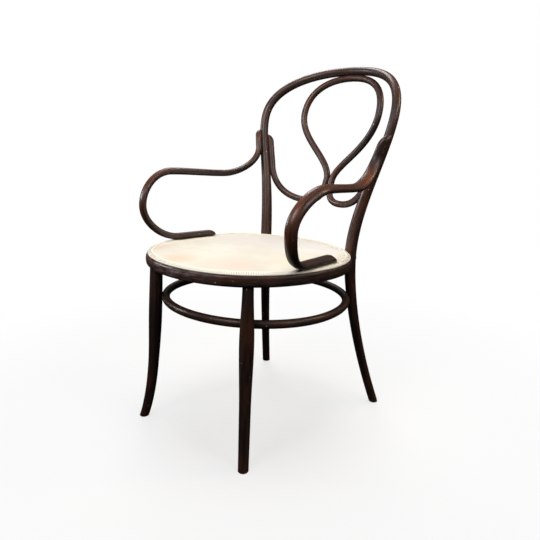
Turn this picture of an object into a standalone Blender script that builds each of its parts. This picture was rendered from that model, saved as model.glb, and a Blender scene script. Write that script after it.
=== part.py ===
# Bentwood armchair. One bent bow makes the rear legs, the posts and the arch of the back, and
# a second rod makes the loop inside it. Two flat bent arms run from the posts to the seat. The
# seat is a bent hoop on turned front legs, tied below by a stretcher hoop, with a board, a thin
# pad and a leather cover sewn along its border. Screws and two bolts hold the rods together.
# Metres. X is the width, -Y the front, Z up, and the floor is at zero.

import math

import bmesh
import bpy
from mathutils import Matrix, Vector

# Fits
FIT = 0.0003                # clearance between pieces that touch
BITE = 0.0020               # depth of the saddle where one rod lies on another

# Seat hoop
SEAT_HEIGHT = 0.462         # floor to the top of the hoop, under its middle
SEAT_SLOPE = math.radians(2)        # the chair leans back on shorter rear legs
SEAT_HALF_WIDTH = 0.2580    # centre to the side of the hoop
SEAT_FRONT = 0.2815         # centre to the front of the hoop
SEAT_REAR = 0.2485          # centre to the back of the hoop
SEAT_CORNER = 0.024         # how much fuller than an ellipse the front corners are
HOOP_HEIGHT = 0.028
HOOP_WIDTH = 0.042
HOOP_ROUND = 0.010          # rounding of the two outer edges
LEDGE_WIDTH = 0.007         # rebate that carries the board

# Seat panel
BOARD_THICKNESS = 0.005
COVER_INSET = 0.004         # edge of the hoop to the edge of the leather
COVER_THICKNESS = 0.0016
BORDER_WIDTH = 0.013        # sewn band along the edge of the leather
BORDER_THICKNESS = 0.0016
PAD_INSET = 0.036           # edge of the hoop to the edge of the pad
PAD_EDGE = 0.0015           # thickness of the pad at its drawn-in edge
PAD_CROWN = 0.008           # rise of the pad from its edge to its middle
PAD_LEVEL = 0.94            # share of the way to the middle where the top turns level

# Back bow
POST_TURN = math.radians(36)        # where the posts stand on the hoop, off its back
POST_NOTCH = 0.005          # depth of the notch that takes the hoop
BACK_RISE = 0.4815          # hoop top to the middle of the rod at the crown
BACK_HALF_WIDTH = 0.2250    # middle of the chair to the rod at the shoulder
SHOULDER_RISE = 0.3500      # hoop top to the widest place of the back
POST_HANDLE = 0.157         # length over which a post leaves the seat upright
SHOULDER_HANDLE = 0.088     # length over which a post comes upright at the shoulder
ARCH_FULLNESS = 0.63        # 0.55 is an ellipse, more is squarer
RECLINE = 0.1270            # how far the crown lies behind the seat joint
WRAP_RADIUS = 0.244         # radius of the back seen from above
REAR_SWEEP = 0.105          # how far a rear foot stands out from its post
REAR_SWEEP_TURN = math.radians(35)  # direction of that sweep, off straight back
REAR_SWEEP_POWER = 1.62     # higher keeps the bend nearer to the floor
FOOT_RADIUS = 0.0120
POST_RADIUS = 0.0160        # at the seat
SHOULDER_RADIUS = 0.0120
CROWN_RADIUS = 0.0115

# Inner loop
LOOP_RADIUS = 0.0094
LOOP_LAP_RISE = 0.2735      # hoop top to the upper end of the lap on the post
LOOP_LAP = 0.0695           # length of the lap
LOBE_X = 0.0605             # lowest place of each lobe, from the middle
LOBE_RISE = 0.113           # and above the hoop top
LOBE_HANDLE_IN = 0.0455
LOBE_HANDLE_OUT = 0.053
NECK_RISE = 0.1755          # where the two strands meet
NECK_GAP = 0.0005
NECK_HANDLE_DOWN = 0.038
NECK_HANDLE_UP = 0.0505
EYE_HALF_WIDTH = 0.1315     # widest place of the teardrop
EYE_RISE = 0.3620
EYE_HANDLE = 0.083
LAP_HANDLE = 0.0685
LOOP_END_ROUND = 0.023      # length of the bevel that runs up to the post

# Arms: half sizes are across the arm and through its thickness
ARM_LAP_RISE = 0.277        # hoop top to the upper end of the lap on the post
ARM_LAP = 0.016
ARM_LAP_TURN = math.radians(12)     # side of the post that the arm lies on, off the front
ARM_DIP = Vector((-0.0235, 0.1030, 0.1820))   # lowest place of the rest, from the seat's side
ARM_TOP = Vector((0.0120, -0.0615, 0.1885))   # where the front bend starts
ARM_NOSE = Vector((0.0050, -0.1605, 0.1000))  # furthest forward
ARM_SPLAY = math.radians(10.5)      # how the rest turns outward to the front
ARM_HANDLE = 0.050          # pull of the bends, along the rod
ARM_NOSE_HANDLE = 0.0465
TAIL_START_Y = -0.072       # where the tail comes down on the seat
TAIL_START_INSET = 0.0195   # edge of the hoop to the tail there
TAIL_END_Y = 0.036
TAIL_END_INSET = 0.0350
ARM_END_WIDTH = 0.0145
ARM_REST_WIDTH = 0.0160
ARM_REST_AT = 0.35          # share of the arm's length, from the post
ARM_NOSE_WIDTH = 0.0143
ARM_NOSE_AT = 0.65
ARM_TAIL_WIDTH = 0.0122
ARM_THICKNESS = 0.0092
ARM_FLAT_TURN = math.radians(48)     # which way the flat of the arm faces on the post, off the front
ARM_FLAT_NOSE = math.radians(22)     # and at the nose
ARM_END_LENGTH = 0.034      # slanting end on the post
ARM_END_THIN = 0.5          # share of that length after which it thins
ARM_TAIL_ROUND = 0.017      # length of the rounded end on the seat
ARM_TAIL_SQUARE = 0.4        # below 1 keeps that end broad

# Front legs
LEG_TURN = math.radians(44.3)       # where the front legs stand under the hoop, off its front
LEG_INSET = 0.0225          # edge of the hoop to the middle of the leg
LEG_SPLAY = 0.015           # straight lean, seat to floor
LEG_SABRE = 0.0255          # further kick of the foot
LEG_SABRE_POWER = 5
LEG_SPLAY_TURN = math.radians(44.3)
LEG_TOP_ROUND = 0.0130      # half size along the hoop
LEG_TOP_DEEP = 0.0165       # half size across the hoop
LEG_SWELL = 0.0175
LEG_SWELL_AT = 0.31         # share of the leg's length, from the top
LEG_ANKLE = 0.0140
LEG_ANKLE_AT = 0.69
LEG_FOOT = 0.01275
TENON_RADIUS = 0.0095
TENON_LENGTH = 0.017
FOOT_CHAMFER = 0.0015

# Stretcher hoop
STRETCHER_HEIGHT = 0.339
STRETCHER_HALF_WIDTH = 0.2410
STRETCHER_RADIUS = 0.0105

# Fasteners
SCREW_RADIUS = 0.0020
SCREW_HEAD = 0.0040
SCREW_HEAD_DEPTH = 0.0026
SCREW_POINT = 0.0040
SCREW_SUNK = 0.0008         # head below the surface of the rod
SCREW_GRIP = 0.0110         # length of thread in the second piece
LOOP_SCREWS = (('upper', 0.25), ('lower', 0.80))    # share of the lap, from its upper end
ARM_SCREWS = (('upper', 0.0), ('lower', 0.95))
TAIL_SCREW_STEP = 0.022
ARM_SCREW_SIDE = 0.0050     # screws of the lap, off the middle of the arm towards the post
BOLT_RADIUS = 0.0035
BOLT_HEAD = 0.0090
BOLT_HEAD_HEIGHT = 0.0035
BOLT_END = 0.0020           # bolt past its nut
SPOT_DEPTH = 0.0015         # flat sunk in the hoop for the washer
WASHER_RADIUS = 0.0080
WASHER_THICKNESS = 0.0012
NUT_RADIUS = 0.0072
NUT_HEIGHT = 0.0050

# Facets
ROD_SIDES = 12
THIN_SIDES = 10
SCREW_SIDES = 8
HOOP_STEPS = 48
LEG_STEPS = 16
POST_STEPS = 13
ARCH_STEPS = 12
LOOP_STEPS = 9              # on each bend of the inner loop
ARM_STEPS = 8               # on each bend of an arm
LAP_STEPS = 4
ARM_END_STEPS = 6
ROUND_STEPS = 4
CAP_STEPS = 3
PAD_STEPS = 6
PAD_CROWDING = 1.6          # above 1 draws the rings of the pad together at its edge

UP = Vector((0, 0, 1))
BACK = Vector((0, 1, 0))
HOOP_BOTTOM = SEAT_HEIGHT - HOOP_HEIGHT
HOOP_MIDDLE = SEAT_HEIGHT - HOOP_HEIGHT / 2
BOARD_TOP = SEAT_HEIGHT
LEDGE_Z = BOARD_TOP - BOARD_THICKNESS - FIT
COVER_FLAT = SEAT_HEIGHT + FIT + COVER_THICKNESS
BORDER_TOP = COVER_FLAT + FIT + BORDER_THICKNESS
CROWN_Z = SEAT_HEIGHT + BACK_RISE
SHOULDER_Z = SEAT_HEIGHT + SHOULDER_RISE


# Curves

def ease(t):
    t = min(max(t, 0.0), 1.0)
    return t * t * (3 - 2 * t)


def blend(a, b, t):
    return a + (b - a) * t


def bezier(p0, p1, p2, p3, t):
    s = 1 - t
    return p0 * s**3 + p1 * (3 * s * s * t) + p2 * (3 * s * t * t) + p3 * t**3


def curve(p0, p1, p2, p3, steps):
    # points of one bend, without its last point
    return [bezier(p0, p1, p2, p3, k / steps) for k in range(steps)]


def mirrored(point, side):
    return Vector((point.x * side, point.y, point.z))


def oval(half_width, front, rear, turn):
    # a hoop with a round front and a flatter back; turn is 0 at the front
    depth = front if math.cos(turn) > 0 else rear
    return Vector((half_width * math.sin(turn), -depth * math.cos(turn), 0))


def seat_edge(turn):
    full = 1 + SEAT_CORNER * math.sin(2 * turn)**2 if math.cos(turn) > 0 else 1
    return oval(SEAT_HALF_WIDTH, SEAT_FRONT, SEAT_REAR, turn) * full


def seat_normal(turn):
    step = math.radians(0.1)
    along = seat_edge(turn + step) - seat_edge(turn - step)
    return Vector((along.y, -along.x, 0)).normalized()


def seat_inset(turn, inset, z):
    return seat_edge(turn) - seat_normal(turn) * inset + UP * z


def halve(rising, target, low, high):
    # where a rising function reaches its target
    for _ in range(40):
        middle = (low + high) / 2
        if rising(middle) < target:
            low = middle
        else:
            high = middle
    return low


def seat_side_x(y):
    # half width of the hoop at a given depth
    return seat_edge(halve(lambda turn: seat_edge(turn).y, y, 0, math.pi)).x


# The back lies on a surface that leans back and wraps round the sitter

POST_SIDE = math.pi - POST_TURN
POST_FOOT = seat_edge(POST_SIDE) + seat_normal(POST_SIDE) * (POST_RADIUS - POST_NOTCH)
BACK_ROOT = POST_FOOT.y + POST_FOOT.x**2 / (2 * WRAP_RADIUS)


def on_back(x, z):
    lean = RECLINE * ease((z - HOOP_MIDDLE) / (CROWN_Z - HOOP_MIDDLE))
    return Vector((x, BACK_ROOT + lean - x * x / (2 * WRAP_RADIUS), z))


def post_front_view(t):
    # a post from the seat to the shoulder, seen from the front
    start = Vector((POST_FOOT.x, 0, HOOP_MIDDLE))
    end = Vector((BACK_HALF_WIDTH, 0, SHOULDER_Z))
    return bezier(start, start + UP * POST_HANDLE, end - UP * SHOULDER_HANDLE, end, t)


def arch_front_view(t):
    # the arch from the shoulder to the crown, seen from the front
    start = Vector((BACK_HALF_WIDTH, 0, SHOULDER_Z))
    end = Vector((0, 0, CROWN_Z))
    rise = UP * (CROWN_Z - SHOULDER_Z) * ARCH_FULLNESS
    run = Vector((BACK_HALF_WIDTH * ARCH_FULLNESS, 0, 0))
    return bezier(start, start + rise, end + run, end, t)


def post_at(z):
    # middle of the right post or rear leg at a given height
    if z < HOOP_MIDDLE:
        reach = REAR_SWEEP * ((HOOP_MIDDLE - z) / HOOP_MIDDLE)**REAR_SWEEP_POWER
        sweep = Vector((math.sin(REAR_SWEEP_TURN), math.cos(REAR_SWEEP_TURN), 0))
        return POST_FOOT + sweep * reach + UP * z
    t = halve(lambda t: post_front_view(t).z, z, 0, 1)
    return on_back(post_front_view(t).x, z)


def post_radius(z):
    if z < HOOP_MIDDLE:
        return blend(FOOT_RADIUS, POST_RADIUS, (z / HOOP_MIDDLE)**2)
    return blend(POST_RADIUS, SHOULDER_RADIUS, ease((z - HOOP_MIDDLE) / (SHOULDER_Z - HOOP_MIDDLE)))


def leg_at(z):
    # middle of the right front leg at a given height
    drop = (HOOP_BOTTOM - z) / HOOP_BOTTOM
    reach = LEG_SPLAY * drop + LEG_SABRE * drop**LEG_SABRE_POWER
    lean = Vector((math.sin(LEG_SPLAY_TURN), -math.cos(LEG_SPLAY_TURN), 0))
    return seat_inset(LEG_TURN, LEG_INSET, z) + lean * reach


def leg_half_sizes(z):
    # across the hoop and along it: oval at the top, round from the swell down
    drop = (HOOP_BOTTOM - z) / HOOP_BOTTOM
    if drop < LEG_SWELL_AT:
        t = ease(drop / LEG_SWELL_AT)
        return blend(LEG_TOP_DEEP, LEG_SWELL, t), blend(LEG_TOP_ROUND, LEG_SWELL, t)
    if drop < LEG_ANKLE_AT:
        size = blend(LEG_SWELL, LEG_ANKLE, ease((drop - LEG_SWELL_AT) / (LEG_ANKLE_AT - LEG_SWELL_AT)))
        return size, size
    size = blend(LEG_ANKLE, LEG_FOOT, (drop - LEG_ANKLE_AT) / (1 - LEG_ANKLE_AT))
    return size, size


def stand(point):
    # the floor slopes against the seat, so the legs are drawn out or in to meet it
    if point.z < HOOP_BOTTOM:
        level = point.y * math.tan(SEAT_SLOPE)
        return point + UP * level * (1 - point.z / HOOP_BOTTOM)
    return point


# Solids

def add_object(name, bm, material):
    bmesh.ops.recalc_face_normals(bm, faces=bm.faces[:])
    mesh = bpy.data.meshes.new(name)
    bm.to_mesh(mesh)
    bm.free()
    obj = bpy.data.objects.new(name, mesh)
    bpy.context.collection.objects.link(obj)
    obj.parent = chair
    if material is None:
        obj.hide_render = True
        obj.display_type = 'WIRE'
    else:
        mesh.materials.append(material)
        mesh.shade_smooth()
        mesh.set_sharp_from_angle(angle=math.radians(35))
    return obj


def skin(name, rings, material, closed=False):
    # a solid through rings of points: closed joins the last ring to the first
    bm = bmesh.new()
    loops = [[bm.verts.new(stand(point)) for point in ring] for ring in rings]
    pairs = list(zip(loops, loops[1:]))
    if closed:
        pairs.append((loops[-1], loops[0]))
    for one, two in pairs:
        for k in range(len(one)):
            n = (k + 1) % len(one)
            bm.faces.new((one[k], one[n], two[n], two[k]))
    if not closed:
        bm.faces.new(loops[0])
        bm.faces.new(loops[-1])
    return add_object(name, bm, material)


def ellipse_ring(centre, along, across, half_across, half_through, sides):
    a = (across - along * across.dot(along)).normalized()
    b = along.cross(a)
    ring = []
    for k in range(sides):
        angle = 2 * math.pi * k / sides
        ring.append(centre + a * half_across * math.cos(angle) + b * half_through * math.sin(angle))
    return ring


def directions(path, closed=False):
    result = []
    for k in range(len(path)):
        after = path[(k + 1) % len(path)] if closed else path[min(k + 1, len(path) - 1)]
        before = path[k - 1] if closed else path[max(k - 1, 0)]
        result.append((after - before).normalized())
    return result


def rod_rings(path, sizes, across, sides, closed=False, flat_start=None, flat_end=None):
    # across is the wide way at each point of the path
    # a flat end has its last two rings, the chamfer's, square to the given direction
    along = directions(path, closed)
    if flat_start:
        along[:2] = [flat_start] * 2
    if flat_end:
        along[-2:] = [flat_end] * 2
    return [ellipse_ring(p, d, a, s[0], s[1], sides) for p, d, a, s in zip(path, along, across, sizes)]


def domed_end(path, sizes, across, sides, length, square=1, rest=None):
    # rings that close the end of a rod with a round cap; rest is the side that stays straight
    along = (path[-1] - path[-2]).normalized()
    half_across, half_through = sizes[-1]
    rings = []
    for k in range(1, CAP_STEPS + 1):
        angle = math.pi / 2 * k / (CAP_STEPS + 1)
        centre = path[-1] + along * length * math.sin(angle)
        if rest:
            centre += rest * half_through * (1 - math.cos(angle))
        rings.append(ellipse_ring(centre, along, across, half_across * math.cos(angle)**square,
                                  half_through * math.cos(angle), sides))
    return rings


def turned(name, origin, axis, profile, sides, material, bore=False):
    # profile is radius and distance along the axis; a bored piece closes on itself
    across = axis.orthogonal()
    rings = [ellipse_ring(origin + axis * z, axis, across, r, r, sides) for r, z in profile]
    return skin(name, rings, material, closed=bore)


def cut(part, cutter):
    modifier = part.modifiers.new(cutter.name, 'BOOLEAN')
    modifier.operation = 'DIFFERENCE'
    modifier.solver = 'EXACT'
    modifier.object = cutter


def screw(name, head, axis, length, pieces):
    # a sunk wood screw and its hole through the pieces that it joins
    profile = [(SCREW_HEAD, 0), (SCREW_RADIUS, SCREW_HEAD_DEPTH), (SCREW_RADIUS, length - SCREW_POINT),
               (SCREW_RADIUS / 4, length)]
    hole = [(SCREW_HEAD + FIT, -POST_RADIUS), (SCREW_HEAD + FIT, 0),
            (SCREW_RADIUS + FIT, SCREW_HEAD_DEPTH), (SCREW_RADIUS + FIT, length + FIT)]
    turned(name, head, axis, profile, SCREW_SIDES, steel)
    cutter = turned('hole_' + name, head, axis, hole, SCREW_SIDES, None)
    for piece in pieces:
        cut(piece, cutter)


def finish(name, colour, roughness, metallic=0.0):
    material = bpy.data.materials.new(name)
    material.use_nodes = True
    shader = material.node_tree.nodes['Principled BSDF']
    shader.inputs['Base Color'].default_value = (*colour, 1)
    shader.inputs['Roughness'].default_value = roughness
    shader.inputs['Metallic'].default_value = metallic
    return material


# The pieces

def make_bow(name, spare, material):
    # one half from the foot to the crown, then the other half back down
    half = [(post_at(0), post_radius(0) - FOOT_CHAMFER)]
    for k in range(LEG_STEPS):
        z = blend(FOOT_CHAMFER, HOOP_MIDDLE, k / LEG_STEPS)
        half.append((post_at(z), post_radius(z)))
    for k in range(POST_STEPS):
        p = post_front_view(k / POST_STEPS)
        half.append((on_back(p.x, p.z), post_radius(p.z)))
    for k in range(ARCH_STEPS + 1):
        p = arch_front_view(k / ARCH_STEPS)
        half.append((on_back(p.x, p.z), blend(SHOULDER_RADIUS, CROWN_RADIUS, k / ARCH_STEPS)))
    whole = half + [(mirrored(p, -1), r) for p, r in half[-2::-1]]
    path = [p for p, r in whole]
    sizes = [(r + spare, r + spare) for p, r in whole]
    rings = rod_rings(path, sizes, [BACK] * len(path), ROD_SIDES, flat_start=UP, flat_end=-UP)
    return skin(name, rings, material)


def loop_lap(z):
    # the loop lies on the inner back side of the post
    post = post_at(z)
    inward = Vector((-1, post.x / WRAP_RADIUS, 0)).normalized()
    return post + inward * (post_radius(z) + LOOP_RADIUS - BITE), inward


def make_loop(name):
    lap_top = SEAT_HEIGHT + LOOP_LAP_RISE
    lap_low = lap_top - LOOP_LAP
    lap = [loop_lap(blend(lap_top, lap_low, k / LAP_STEPS))[0] for k in range(LAP_STEPS + 1)]
    down = (lap[-1] - lap[-2]).normalized()
    lobe = Vector((LOBE_X, 0, SEAT_HEIGHT + LOBE_RISE))
    neck = Vector((LOOP_RADIUS + NECK_GAP / 2, 0, SEAT_HEIGHT + NECK_RISE))
    eye = Vector((EYE_HALF_WIDTH, 0, SEAT_HEIGHT + EYE_RISE))
    top = Vector((0, 0, CROWN_Z - CROWN_RADIUS - LOOP_RADIUS + BITE))
    right = Vector((1, 0, 0))
    out = Vector((lap[-1].x, 0, lap[-1].z))
    pull = Vector((down.x, 0, down.z)) * LAP_HANDLE
    view = curve(out, out + pull, lobe + right * LOBE_HANDLE_OUT, lobe, LOOP_STEPS)
    view += curve(lobe, lobe - right * LOBE_HANDLE_IN, neck - UP * NECK_HANDLE_DOWN, neck, LOOP_STEPS)
    view += curve(neck, neck + UP * NECK_HANDLE_UP, eye - UP * EYE_HANDLE, eye, LOOP_STEPS)
    arch = UP * (top.z - eye.z) * ARCH_FULLNESS
    view += curve(eye, eye + arch, top + right * EYE_HALF_WIDTH * ARCH_FULLNESS, top, LOOP_STEPS)
    half = lap[:-1] + [on_back(p.x, p.z) for p in view + [top]]
    path = half + [mirrored(p, -1) for p in half[-2::-1]]
    sizes = [(LOOP_RADIUS, LOOP_RADIUS)] * len(path)
    rings = rod_rings(path, sizes, [BACK] * len(path), THIN_SIDES)
    on_post = -loop_lap(lap_top)[1]
    start = domed_end(path[::-1], sizes, BACK, THIN_SIDES, LOOP_END_ROUND, rest=on_post)
    end = domed_end(path, sizes, BACK, THIN_SIDES, LOOP_END_ROUND, rest=mirrored(on_post, -1))
    backward = [[ring[-k % THIN_SIDES] for k in range(THIN_SIDES)] for ring in start[::-1]]
    return skin(name, backward + rings + end, beech)


def arm_lap(z):
    # the arm lies on the front of the post, a little to the outside
    toward = Vector((math.sin(ARM_LAP_TURN), -math.cos(ARM_LAP_TURN), 0))
    return post_at(z) + toward * (post_radius(z) + ARM_THICKNESS - BITE)


def tail_point(y, inset):
    return Vector((seat_side_x(y) - inset, y, BORDER_TOP + FIT + ARM_THICKNESS))


def arm_width(t):
    # half width at a share of the arm's length, from the post
    if t < ARM_REST_AT:
        return blend(ARM_END_WIDTH, ARM_REST_WIDTH, ease(t / ARM_REST_AT))
    if t < ARM_NOSE_AT:
        return blend(ARM_REST_WIDTH, ARM_NOSE_WIDTH, (t - ARM_REST_AT) / (ARM_NOSE_AT - ARM_REST_AT))
    return blend(ARM_NOSE_WIDTH, ARM_TAIL_WIDTH, ease((t - ARM_NOSE_AT) / (1 - ARM_NOSE_AT)))


def arm_path():
    # right arm, from its end on the post to the end of its tail, with its half width
    seat_side = Vector((SEAT_HALF_WIDTH, 0, SEAT_HEIGHT))
    lap_top = SEAT_HEIGHT + ARM_LAP_RISE
    lap = [arm_lap(lap_top - ARM_LAP * k / LAP_STEPS) for k in range(LAP_STEPS + 1)]
    down = (lap[-1] - lap[-2]).normalized()
    dip = ARM_DIP + seat_side
    top = ARM_TOP + seat_side
    nose = ARM_NOSE + seat_side
    ahead = Vector((math.sin(ARM_SPLAY), -math.cos(ARM_SPLAY), 0))
    start = tail_point(TAIL_START_Y, TAIL_START_INSET)
    end = tail_point(TAIL_END_Y, TAIL_END_INSET)
    back = (end - start).normalized()
    drop = Vector((0, 0, -ARM_NOSE_HANDLE))
    path = lap[:-1]
    path += curve(lap[-1], lap[-1] + down * ARM_HANDLE, dip - ahead * ARM_HANDLE, dip, ARM_STEPS)
    path += curve(dip, dip + ahead * ARM_HANDLE, top - ahead * ARM_HANDLE, top, ARM_STEPS)
    path += curve(top, top + ahead * ARM_HANDLE, nose - drop, nose, ARM_STEPS)
    path += curve(nose, nose + drop, start - back * ARM_HANDLE, start, ARM_STEPS)
    path += [start.lerp(end, k / LAP_STEPS) for k in range(LAP_STEPS + 1)]
    return path, [arm_width(k / (len(path) - 1)) for k in range(len(path))]


def level_way(turn):
    # level direction at a turn from the right towards the back
    return Vector((math.cos(turn), math.sin(turn), 0))


def arm_flat(t):
    # the wide way of the arm at a share of its length, from the post
    return level_way(blend(ARM_FLAT_TURN, ARM_FLAT_NOSE, min(t / ARM_NOSE_AT, 1)))


def arm_face():
    # the way that the flat of the arm faces on the right post
    return level_way(ARM_FLAT_TURN - math.pi / 2)


def arm_post_end(path, size, flat, face):
    # the end narrows to the side over the post and then thins on to it
    along = (path[1] - path[0]).normalized()
    wide, thick = size
    rings = []
    for k in range(1, ARM_END_STEPS + 1):
        share = k / (ARM_END_STEPS + 1)
        narrow = math.sqrt(1 - share**2)
        thin = math.sqrt(1 - (max(share - ARM_END_THIN, 0) / (1 - ARM_END_THIN))**2)
        centre = path[0] - along * ARM_END_LENGTH * share
        centre += flat * wide * (1 - narrow) - face * thick * (1 - thin)
        rings.append(ellipse_ring(centre, along, flat, wide * narrow, thick * thin, ROD_SIDES))
    return rings


def make_arm(name, side):
    path, widths = arm_path()
    path = [mirrored(p, side) for p in path]
    sizes = [(w, ARM_THICKNESS) for w in widths]
    across = [mirrored(arm_flat(k / (len(path) - 1)), side) for k in range(len(path))]
    rings = rod_rings(path, sizes, across, ROD_SIDES)
    start = arm_post_end(path, sizes[0], across[0], mirrored(arm_face(), side))
    end = domed_end(path, sizes, across[-1], ROD_SIDES, ARM_TAIL_ROUND, ARM_TAIL_SQUARE, -UP)
    return skin(name, start[::-1] + rings + end, beech)


def hoop_section():
    # inset from the outer face and height over the bottom; the rebate is at the top inside
    quarter = [math.pi / 2 * k / ROUND_STEPS for k in range(ROUND_STEPS + 1)]
    points = [(HOOP_ROUND * (1 - math.sin(a)), HOOP_ROUND * (1 - math.cos(a))) for a in quarter]
    points += [(inset, HOOP_HEIGHT - v) for inset, v in points[::-1]]
    solid = HOOP_WIDTH - LEDGE_WIDTH
    ledge = LEDGE_Z - HOOP_BOTTOM
    points += [(solid, HOOP_HEIGHT), (solid, ledge), (HOOP_WIDTH, ledge), (HOOP_WIDTH, 0)]
    return points


def make_hoop(name):
    rings = []
    for k in range(HOOP_STEPS):
        turn = 2 * math.pi * k / HOOP_STEPS
        rings.append([seat_inset(turn, u, HOOP_BOTTOM + v) for u, v in hoop_section()])
    return skin(name, rings, beech, closed=True)


def make_notch_cutter(name):
    # the hoop's own outer shape with the clearance added
    rings = []
    for k in range(HOOP_STEPS):
        turn = 2 * math.pi * k / HOOP_STEPS
        ring = []
        for u, v in hoop_section():
            grow = FIT if v > HOOP_HEIGHT / 2 else -FIT
            ring.append(seat_inset(turn, u - FIT if u < HOOP_WIDTH / 2 else u, HOOP_BOTTOM + v + grow))
        rings.append(ring)
    return skin(name, rings, None, closed=True)


def seat_disc(name, sections, material):
    # a piece of the seat panel: rings of inset, share of the way to the middle, and height
    rings = []
    for inset, share, z in sections:
        edge = [seat_inset(2 * math.pi * k / HOOP_STEPS, inset, 0) for k in range(HOOP_STEPS)]
        rings.append([point * (1 - share) + UP * z for point in edge])
    return skin(name, rings, material)


def pad_rings(base):
    # the crowned top, from the edge of the pad inward
    rings = []
    for k in range(PAD_STEPS + 1):
        share = PAD_LEVEL * (k / PAD_STEPS)**PAD_CROWDING
        rings.append((PAD_INSET, share, base + PAD_CROWN * (1 - (1 - share)**2)**1.5))
    return rings


def make_padding(name):
    bottom = SEAT_HEIGHT + FIT
    draw = PAD_EDGE / 2
    sides = [(PAD_INSET, 0, bottom), (PAD_INSET - draw, 0, bottom + draw)]
    return seat_disc(name, sides + pad_rings(bottom + PAD_EDGE), foam)


def make_cover(name):
    # leather over the pad and out across the hoop
    low = SEAT_HEIGHT + FIT
    over_pad = low + PAD_EDGE + FIT
    draw = PAD_EDGE + 2 * FIT
    under = pad_rings(over_pad)[::-1]
    under += [(PAD_INSET - draw, 0, over_pad - PAD_EDGE / 3), (PAD_INSET - 2 * draw, 0, low)]
    edge = [(COVER_INSET, 0, low), (COVER_INSET, 0, COVER_FLAT)]
    upper = [(PAD_INSET - 2 * draw - COVER_THICKNESS, 0, COVER_FLAT)]
    return seat_disc(name, under + edge + upper + pad_rings(over_pad + COVER_THICKNESS), leather)


def make_border(name):
    low = COVER_FLAT + FIT
    soft = BORDER_THICKNESS / 3
    outer = COVER_INSET
    inner = COVER_INSET + BORDER_WIDTH
    section = [(outer, low), (outer, BORDER_TOP - soft), (outer + soft, BORDER_TOP),
               (inner - soft, BORDER_TOP), (inner, BORDER_TOP - soft), (inner, low)]
    rings = []
    for k in range(HOOP_STEPS):
        turn = 2 * math.pi * k / HOOP_STEPS
        rings.append([seat_inset(turn, inset, z) for inset, z in section])
    return skin(name, rings, leather, closed=True)


def make_board(name):
    edge = HOOP_WIDTH - LEDGE_WIDTH + FIT
    return seat_disc(name, [(edge, 0, LEDGE_Z + FIT), (edge, 0, BOARD_TOP)], plywood)


def tenon_profile(spare):
    # radius and height over the shoulder of the leg
    return [(TENON_RADIUS + spare, -spare), (TENON_RADIUS + spare, TENON_LENGTH + spare)]


def tenon_rings(side, spare):
    shoulder = mirrored(leg_at(HOOP_BOTTOM - FIT), side)
    radial = mirrored(seat_normal(LEG_TURN), side)
    return [ellipse_ring(shoulder + UP * z, UP, radial, r, r, ROD_SIDES) for r, z in tenon_profile(spare)]


def make_leg(name, side):
    radial = mirrored(seat_normal(LEG_TURN), side)
    shoulder = HOOP_BOTTOM - FIT
    levels = [(0, FOOT_CHAMFER)]
    levels += [(blend(FOOT_CHAMFER, shoulder, k / LEG_STEPS), 0) for k in range(LEG_STEPS + 1)]
    rings = []
    for z, trim in levels:
        deep, wide = leg_half_sizes(z)
        centre = mirrored(leg_at(z), side)
        rings.append(ellipse_ring(centre, UP, radial, deep - trim, wide - trim, ROD_SIDES))
    return skin(name, rings + tenon_rings(side, 0), beech)


def make_leg_cutter(name, side):
    # the stretch of a front leg beside the stretcher, with the clearance added
    radial = mirrored(seat_normal(LEG_TURN), side)
    rings = []
    for k in range(-2, 3):
        z = STRETCHER_HEIGHT + k * STRETCHER_RADIUS
        deep, wide = leg_half_sizes(z)
        centre = mirrored(leg_at(z), side)
        rings.append(ellipse_ring(centre, UP, radial, deep + FIT, wide + FIT, ROD_SIDES))
    return skin(name, rings, None)


def stretcher_touch(centre, radius):
    # where the stretcher's middle line passes a leg
    level = Vector((centre.x, centre.y, 0))
    return level - level.normalized() * (radius + STRETCHER_RADIUS - BITE)


def stretcher_depth(touch):
    return abs(touch.y) / math.sqrt(1 - (touch.x / STRETCHER_HALF_WIDTH)**2)


FRONT_TOUCH = stretcher_touch(leg_at(STRETCHER_HEIGHT), leg_half_sizes(STRETCHER_HEIGHT)[0])
REAR_TOUCH = stretcher_touch(post_at(STRETCHER_HEIGHT), post_radius(STRETCHER_HEIGHT))


def make_stretcher(name):
    front = stretcher_depth(FRONT_TOUCH)
    rear = stretcher_depth(REAR_TOUCH)
    path = []
    for k in range(HOOP_STEPS):
        turn = 2 * math.pi * k / HOOP_STEPS
        path.append(oval(STRETCHER_HALF_WIDTH, front, rear, turn) + UP * STRETCHER_HEIGHT)
    sizes = [(STRETCHER_RADIUS, STRETCHER_RADIUS)] * HOOP_STEPS
    rings = rod_rings(path, sizes, [UP] * HOOP_STEPS, THIN_SIDES, closed=True)
    return skin(name, rings, beech, closed=True)


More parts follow.
